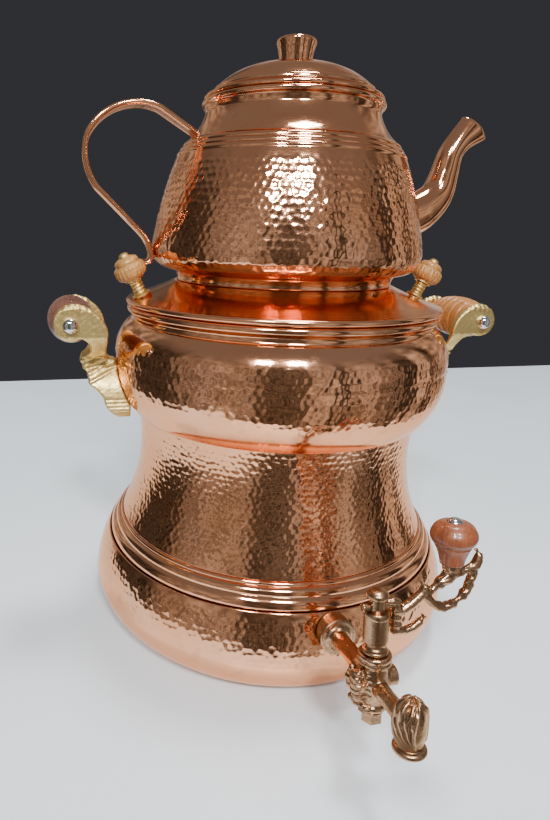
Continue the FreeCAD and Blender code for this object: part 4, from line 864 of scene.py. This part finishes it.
strap_section = [(-3.0, 0.75), (3.0, 0.75)] + strap_edge(1) + [(3.0, 2.5), (-3.0, 2.5)] + strap_edge(-1)
narrow = 1.0 - 0.16 * np.exp(-((np.arange(len(strap_line)) - 4) / 14.0) ** 2)
strap_points = []
for place, (spot, deep) in enumerate(zip(strap_line, strap_in)):
    for side, depth in strap_section:
        strap_points.append((spot[0] + deep[0] * depth, side * narrow[place],
                             spot[1] + deep[1] * depth + POT_FLOOR))
strap = add_piece("teapot_handle_strap", strap_points,
                  tube_faces(len(strap_line), len(strap_section), ends=(0, len(strap_line) - 1)),
                  COPPER_STRAP, "teapot")
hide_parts("teapot_handle")
print("strap:", len(strap_line), "steps")

# %% [markdown]
# ## Wooden grips and knobs
# The two grips are not a pair any more: the left one is a red-brown wood with fine rings, the right one
# a honey-coloured wood with deep grooves. The acorn knobs of the lid have upright ribs below a step, and
# the knob of the tap is a small mushroom with one groove.

# %% Turn the grips
HANDLE_REACH, HANDLE_LEVEL = 151.0, 231.5
GRIP_HALF = 24.0


def grip_outline(grooves, depth, sharp):
    """Thick in the middle, with grooves at even distances."""
    profile = []
    for height in np.linspace(-23.6, 23.6, 190):
        share = abs(height) / GRIP_HALF
        radius = 11.2 + 4.2 * (1 - share ** 2.2)
        place = (height + GRIP_HALF) / (2 * GRIP_HALF) * (grooves + 1)
        nearest = abs(place - round(place))
        if 0 < round(place) < grooves + 1:
            radius -= depth * math.exp(-(nearest / sharp) ** 2)
        profile.append((radius, height))
    return [(2.6, -GRIP_HALF), (11.0, -GRIP_HALF)] + profile + [(11.0, GRIP_HALF), (2.6, GRIP_HALF)]


for side_name, side, finish, outline in (
        ("left", -1, GRIP_BROWN, grip_outline(13, 0.42, 0.15)),
        ("right", 1, GRIP_AMBER, grip_outline(6, 0.95, 0.13))):
    add_turned("handle_grip_%s_turning" % side_name, outline, 140, finish, "vessel",
               axis_frame((side * HANDLE_REACH, 0.0, HANDLE_LEVEL), (0, -1, 0)),
               node="handle_grip_" + side_name)
print("grips: 2, %.0f mm long" % (2 * GRIP_HALF))

# %% Turn the acorn knobs of the lid
LEAN = math.radians(25.0)
KNOB_TURN = math.radians(6.0)
KNOB_REACH, KNOB_LEVEL, STEM_LENGTH = 103.5, 247.52, 13.2


def lid_knob_frame(side):
    """The frame of a wooden knob, on top of its leaning stem."""
    out = Vector((side * math.cos(KNOB_TURN), -math.sin(KNOB_TURN), 0.0))
    axis = out * math.sin(LEAN) + Vector((0, 0, math.cos(LEAN)))
    return axis_frame(out * KNOB_REACH + Vector((0, 0, KNOB_LEVEL)) + axis * STEM_LENGTH, axis)


acorn_outline = trace((2.1, 0.0), (6.0, 0.0), ((9.6, 2.2), (10.5, 6.6)), ((10.2, 8.6), (8.9, 9.9)),
                      (8.0, 10.2), ((8.1, 12.2), (6.6, 13.9)), (3.8, 15.0), (2.1, 15.0), step=0.4)
acorn_ribs = ribs(acorn_outline, 180, count=22, depth=0.55, low=0.6, high=9.6)
for side_name, side in (("left", -1), ("right", 1)):
    add_turned("lid_knob_%s_acorn" % side_name, acorn_outline, 180, ACORN_WOOD, "collar",
               lid_knob_frame(side), node="lid_knob_" + side_name, push=acorn_ribs)
print("acorn outline:", len(acorn_outline), "points")

# %% Turn the knob of the tap
TAP_KNOB_SEAT = (43.0, 0.0, 63.2)
mushroom = trace((2.1, 0.0), (6.2, 0.0), ((7.2, 4.6), (9.2, 9.7)), (9.5, 10.1), ((9.3, 10.6), (9.6, 11.0)),
                 ((12.0, 14.6), (11.1, 19.4)), ((9.0, 22.2), (4.3, 23.5)), (2.1, 23.5), step=0.45)
add_turned("tap_knob_turning", mushroom, 120, KNOB_WOOD, "key",
           TAP @ Matrix.Translation(TAP_KNOB_SEAT), node="tap_knob")
print("mushroom outline:", len(mushroom), "points")

# %% [markdown]
# ## Castings
# The side handles and the tap were cast in sand, so they have soft edges and a rough skin. casting takes
# a copy of a solid, or nothing, adds rounded rods for twigs and bumps, melts everything into one skin of
# small even faces, rounds it off, and then pushes each point along its normal by a relief.

# %% Make rods and rough skin
ROD_SIDES = 10
GRAIN_WAVES = 9


def rod(points, radii):
    """A rounded rod along some points, as points and faces."""
    line = np.array(points, float)
    rows = []
    for place, (spot, radius) in enumerate(zip(line, radii)):
        ahead = line[min(place + 1, len(line) - 1)] - line[max(place - 1, 0)]
        ahead = Vector(ahead).normalized()
        first = ahead.orthogonal().normalized()
        second = ahead.cross(first)
        for turn in full_turn(ROD_SIDES):
            rows.append(Vector(spot) + radius * (math.cos(turn) * first + math.sin(turn) * second))
    return rows, tube_faces(len(line), ROD_SIDES, ends=(0, len(line) - 1))


def grain(points, size, seed):
    """Noise over points in millimetres, from waves in many directions."""
    rng = np.random.default_rng(seed)
    total = np.zeros(len(points))
    for _ in range(GRAIN_WAVES):
        direction = rng.normal(size=3)
        direction *= 2 * math.pi / (size * np.linalg.norm(direction) * rng.uniform(0.7, 1.6))
        total += np.sin(points @ direction + rng.uniform(0, 6.3))
    return total / GRAIN_WAVES * 1.6


print("rod test:", len(rod([(0, 0, 0), (0, 0, 1)], (1, 1))[0]), "points")

# %% Melt solids and rods into a casting
def casting(node, finish, body, voxel, rounding, relief, rods=(), from_solid=True):
    """A rough casting from rods, and from a copy of the solid if asked."""
    mesh = bpy.data.meshes.new(node + "_casting")
    solid = bmesh.new()
    if from_solid:
        solid.from_mesh(nodes[node].data)
    for points, radii in rods:
        rows, faces = rod(points, radii)
        corners = [solid.verts.new(row * MM) for row in rows]
        for face in faces:
            solid.faces.new([corners[corner] for corner in face])
    solid.to_mesh(mesh)
    solid.free()
    piece = new_object(node + "_casting", mesh)
    melt = piece.modifiers.new("melt", "REMESH")
    melt.mode = "VOXEL"
    melt.voxel_size = voxel * MM
    soften = piece.modifiers.new("soften", "SMOOTH")
    soften.factor = 0.5
    soften.iterations = rounding
    even = bpy.data.meshes.new_from_object(piece.evaluated_get(bpy.context.evaluated_depsgraph_get()))
    piece.modifiers.clear()
    count = len(even.vertices)
    points = np.empty(count * 3)
    normals = np.empty(count * 3)
    even.vertices.foreach_get("co", points)
    even.vertex_normals.foreach_get("vector", normals)
    points = points.reshape(-1, 3) / MM
    points += normals.reshape(-1, 3) * relief(points)[:, None]
    even.vertices.foreach_set("co", (points * MM).ravel())
    even.update()
    even.materials.clear()
    even.materials.append(finish)
    even.shade_smooth()
    piece.data = even
    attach(piece, body)
    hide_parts(node)
    print("%s: %d points" % (piece.name, count))


# %% [markdown]
# ### Side handles
# Each fork has a ruffled lip along the top of its two arms, four ridges round its neck, and a shell foot
# whose curved flutes lie nearly level.

# %% Cast the side handles
def bump_row(distance, places, width):
    """Rounded ridges at some places along a distance."""
    return sum(np.exp(-((distance - place) / width) ** 2) for place in places)


def fork_relief(side):
    def relief(points):
        out = side * points[:, 0] - HANDLE_REACH
        up = points[:, 2] - HANDLE_LEVEL
        along = -0.42 * out - 0.91 * up
        push = 0.09 * grain(points, 1.8, 3) + 0.09 * grain(points, 5.0, 4)
        neck = window(along, 26.0, 46.0, 2.0) * (up < -20)
        push += neck * (0.95 * bump_row(along, (28.0, 33.0, 38.0, 43.0), 1.35) - 0.35)
        flutes = ramp(-up, 53.0, 3.0)
        push += 0.85 * flutes * (np.abs(np.sin((up + 0.012 * points[:, 1] ** 2) * 1.25)) - 0.6)
        lip = np.exp(-((up + 37.5 + 0.25 * out) / 1.5) ** 2) * ramp(out, -36.0, 2.0) * (out < -22)
        push += 0.9 * lip
        crest = ramp(up, 6.0, 4.0) * (out > -14)
        ruffle = np.abs(np.sin(0.75 * out + 0.9 * np.sign(points[:, 1])))
        push += crest * (0.45 * ruffle + 0.30 * grain(points, 2.4, 6))
        return push
    return relief


def fork_rods(side):
    """A ruffled lip along the upper edge of both arms."""
    rods = []
    for arm in (-1, 1):
        crest = [(side * (HANDLE_REACH + out), arm * 28.0, HANDLE_LEVEL + up) for out, up in
                 ((8.0, 7.4), (2.0, 10.6), (-4.5, 10.8), (-11.0, 8.2), (-16.5, 3.6), (-21.0, -2.4))]
        rods.append((crest, (1.0, 2.0, 2.5, 2.7, 2.6, 1.6)))
    return rods


for side_name, side in (("left", -1), ("right", 1)):
    casting("handle_bracket_" + side_name, YELLOW_BRASS, "vessel", 0.55, 22,
            fork_relief(side), fork_rods(side))

# %% [markdown]
# ### Tap
# The lever is a twig, melted from rods alone: bark-like bumps, a spur and a hook near its root, a curled
# tip and an arm that carries the knob. The nozzle is a bud whose tip points up, with a smooth pointed
# panel in front and feathers fanning up round it. The body has an acanthus leaf on its left side.

# %% Cast the lever
def in_tap(points):
    """Points of the tap's own frame for points of the object."""
    return moved(points, TAP.inverted())


def lever_relief(points):
    near = in_tap(points)
    away = ramp(near[:, 0], 30.0, 6.0) * ramp(-near[:, 2], -62.0, 4.0)
    plate = ramp(-near[:, 0], -17.0, 2.0)
    notches = bump_row(near[:, 2], (28.0, 32.0, 36.0, 40.0), 1.1)
    return away * 0.42 * grain(points, 3.6, 11) + plate * 0.5 * notches + 0.05 * grain(points, 1.6, 12)


# Points of each twig in the tap's own frame: across, up and radius
TWIGS = [
    ((12.0, 44.0, 2.3), (9.2, 45.4, 2.2), (5.6, 45.2, 1.7)),
    ((11.3, 26.4, 2.0), (11.6, 31.0, 2.9), (11.4, 36.0, 2.7), (11.6, 41.0, 2.9), (11.8, 45.8, 2.2)),
    ((12.0, 39.0, 2.6), (16.0, 40.5, 3.0), (20.5, 43.0, 3.0), (26.0, 47.4, 2.8)),
    ((25.0, 46.0, 2.7), (27.4, 49.2, 2.9), (28.0, 52.4, 2.2)),
    ((26.0, 47.0, 2.6), (29.5, 45.0, 2.5), (33.0, 41.5, 2.4), (36.5, 39.0, 2.5), (40.0, 38.0, 2.7),
     (46.0, 39.4, 2.8), (51.0, 43.2, 2.8), (54.4, 48.0, 2.7), (56.2, 54.0, 2.8), (57.6, 60.0, 2.6)),
    ((57.0, 59.0, 3.0), (59.0, 63.0, 2.9), (59.4, 66.6, 2.2), (57.8, 69.4, 1.3), (56.0, 70.0, 0.6)),
    ((57.0, 61.0, 2.0), (53.0, 59.0, 2.2), (48.5, 57.5, 2.6), (43.0, 57.8, 3.6)),
    ((43.0, 63.0, 5.4), (43.0, 60.0, 4.8), (43.0, 57.0, 4.0)),
    ((43.5, 58.0, 4.2), (40.0, 54.6, 3.8), (36.0, 52.2, 3.2), (32.4, 49.4, 2.4), (30.4, 46.0, 0.9)),
    ((12.0, 28.0, 2.2), (17.0, 27.2, 2.3), (22.0, 28.6, 2.3), (26.0, 31.6, 2.4), (28.6, 34.8, 2.1)),
]
lever_rods = [([tuple(TAP @ Vector((across, 0.0, up))) for across, up, radius in twig],
               [radius for across, up, radius in twig]) for twig in TWIGS]
casting("tap_lever", AGED_BRASS, "key", 0.4, 10, lever_relief, lever_rods, from_solid=False)

# %% Carve the bud of the nozzle
PANEL_TURN = math.radians(30.0)
BUD_RADIUS = 8.6
EDGE_WIDTH = 0.7
BUD_PLACE = (0.0, -36.0, 0.0)


def bud_relief(outline, columns):
    """A smooth pointed panel with a sharp edge, and feathers that fan up beside it."""
    radius, height = np.array(outline).T[:, :, None]
    outside = (radius > 4.7) | (height > 4.0)
    turn = full_turn(columns)[None, :]
    bearing = (turn + math.pi / 2 - PANEL_TURN + math.pi) % (2 * math.pi) - math.pi
    width = 0.95 * np.clip(1.0 - ((height - 1.0) / 12.5) ** 2, 0, 1) ** 0.6
    beyond = (np.abs(bearing) - width) * BUD_RADIUS
    fan = np.arctan2(beyond + 1.5, height + 11.0)
    feather = np.abs(np.sin(fan * 15.0 + 0.25 * np.sin(height * 0.9))) ** 0.8
    tips = ramp(height, 6.0, 4.0) * np.abs(np.cos(bearing * 3.5))
    leaf = ramp(beyond, 0.0, EDGE_WIDTH)
    sharp = np.exp(-(beyond / EDGE_WIDTH) ** 2)
    flat = BUD_RADIUS * (1.0 - np.cos(width) / np.maximum(np.cos(bearing), np.cos(width)))
    body = ramp(height, -8.4, 2.0) * outside
    return body * (leaf * (feather - 0.45 + 1.2 * tips) + 0.8 * sharp - 0.42 * flat * (1 - leaf))


bud_outline = [(0.0, 3.2)] + trace((4.6, 3.2), (4.6, -13.0), step=0.9)
bud_outline += trace((4.6, -13.0), (7.2, -13.0), ((8.4, -11.4), (6.4, -9.4)), (6.2, -8.4), step=0.5)[1:]
bud_outline += trace((6.2, -8.4), ((7.9, -4.6), (BUD_RADIUS, 1.0)), ((7.2, 8.2), (3.4, 13.2)), step=0.3)[1:]
bud_outline += trace((3.4, 13.2), ((1.7, 14.6), (0.0, 15.0)), step=0.3)[1:]
add_turned("tap_nozzle_bud", bud_outline, 300, AGED_BRASS, "vessel", TAP @ Matrix.Translation(BUD_PLACE),
           node="tap_nozzle", push=bud_relief(bud_outline, 300))
print("bud outline:", len(bud_outline), "points")

# %% Cast the body of the tap
def body_relief(points):
    near = in_tap(points)
    side = ramp(-near[:, 0], 4.0, 3.0) * ramp(-near[:, 2], -11.0, 3.0)
    curl = np.arctan2(near[:, 2] + 14.0, near[:, 1] + 2.0)
    leaf = np.abs(np.cos(curl * 6.0)) + 0.5 * np.abs(np.sin(near[:, 2] * 0.9))
    return side * (1.5 * leaf - 0.3) + 0.06 * grain(points, 1.8, 15)


leaf_rods = []
for up, along, bulge in ((8.0, -3.5, 2.0), (5.5, 2.5, 2.4), (1.5, -4.0, 2.6),
                         (-1.5, 2.0, 2.6), (-5.5, -2.5, 2.2), (-9.5, 0.5, 1.7)):
    spots = [tuple(TAP @ Vector((-8.0 - out, along * scale, up + lift)))
             for out, scale, lift in ((-2.0, 0.4, -1.5), (2.2, 1.0, 0.0), (3.6, 1.3, 1.6), (2.6, 1.5, 3.2))]
    leaf_rods.append((spots, (bulge, bulge, bulge * 0.8, bulge * 0.45)))
casting("tap_body", AGED_BRASS, "vessel", 0.36, 3, body_relief, leaf_rods)

# %% [markdown]
# ## The solids that stay
# What isn't modelled again keeps its solid and gets the finish of its slot in the record.

# %% Dress the solids that keep their form
PLAIN = {
    "copper": COPPER_SMOOTH, "copper_pipe": COPPER_PIPE, "yellow_brass": YELLOW_BRASS,
    "aged_brass": AGED_BRASS, "grip_wood": GRIP_BROWN, "knob_wood": ACORN_WOOD,
    "tap_knob_wood": KNOB_WOOD, "chromed_steel": CHROME, "gasket": GASKET,
}
slots = {part["node"]: part["material_slot"] for part in frame["record"]["subparts"]}
for name, solid in nodes.items():
    solid.data.materials.clear()
    solid.data.materials.append(PLAIN[slots[name]])
print("solids dressed:", len(nodes))
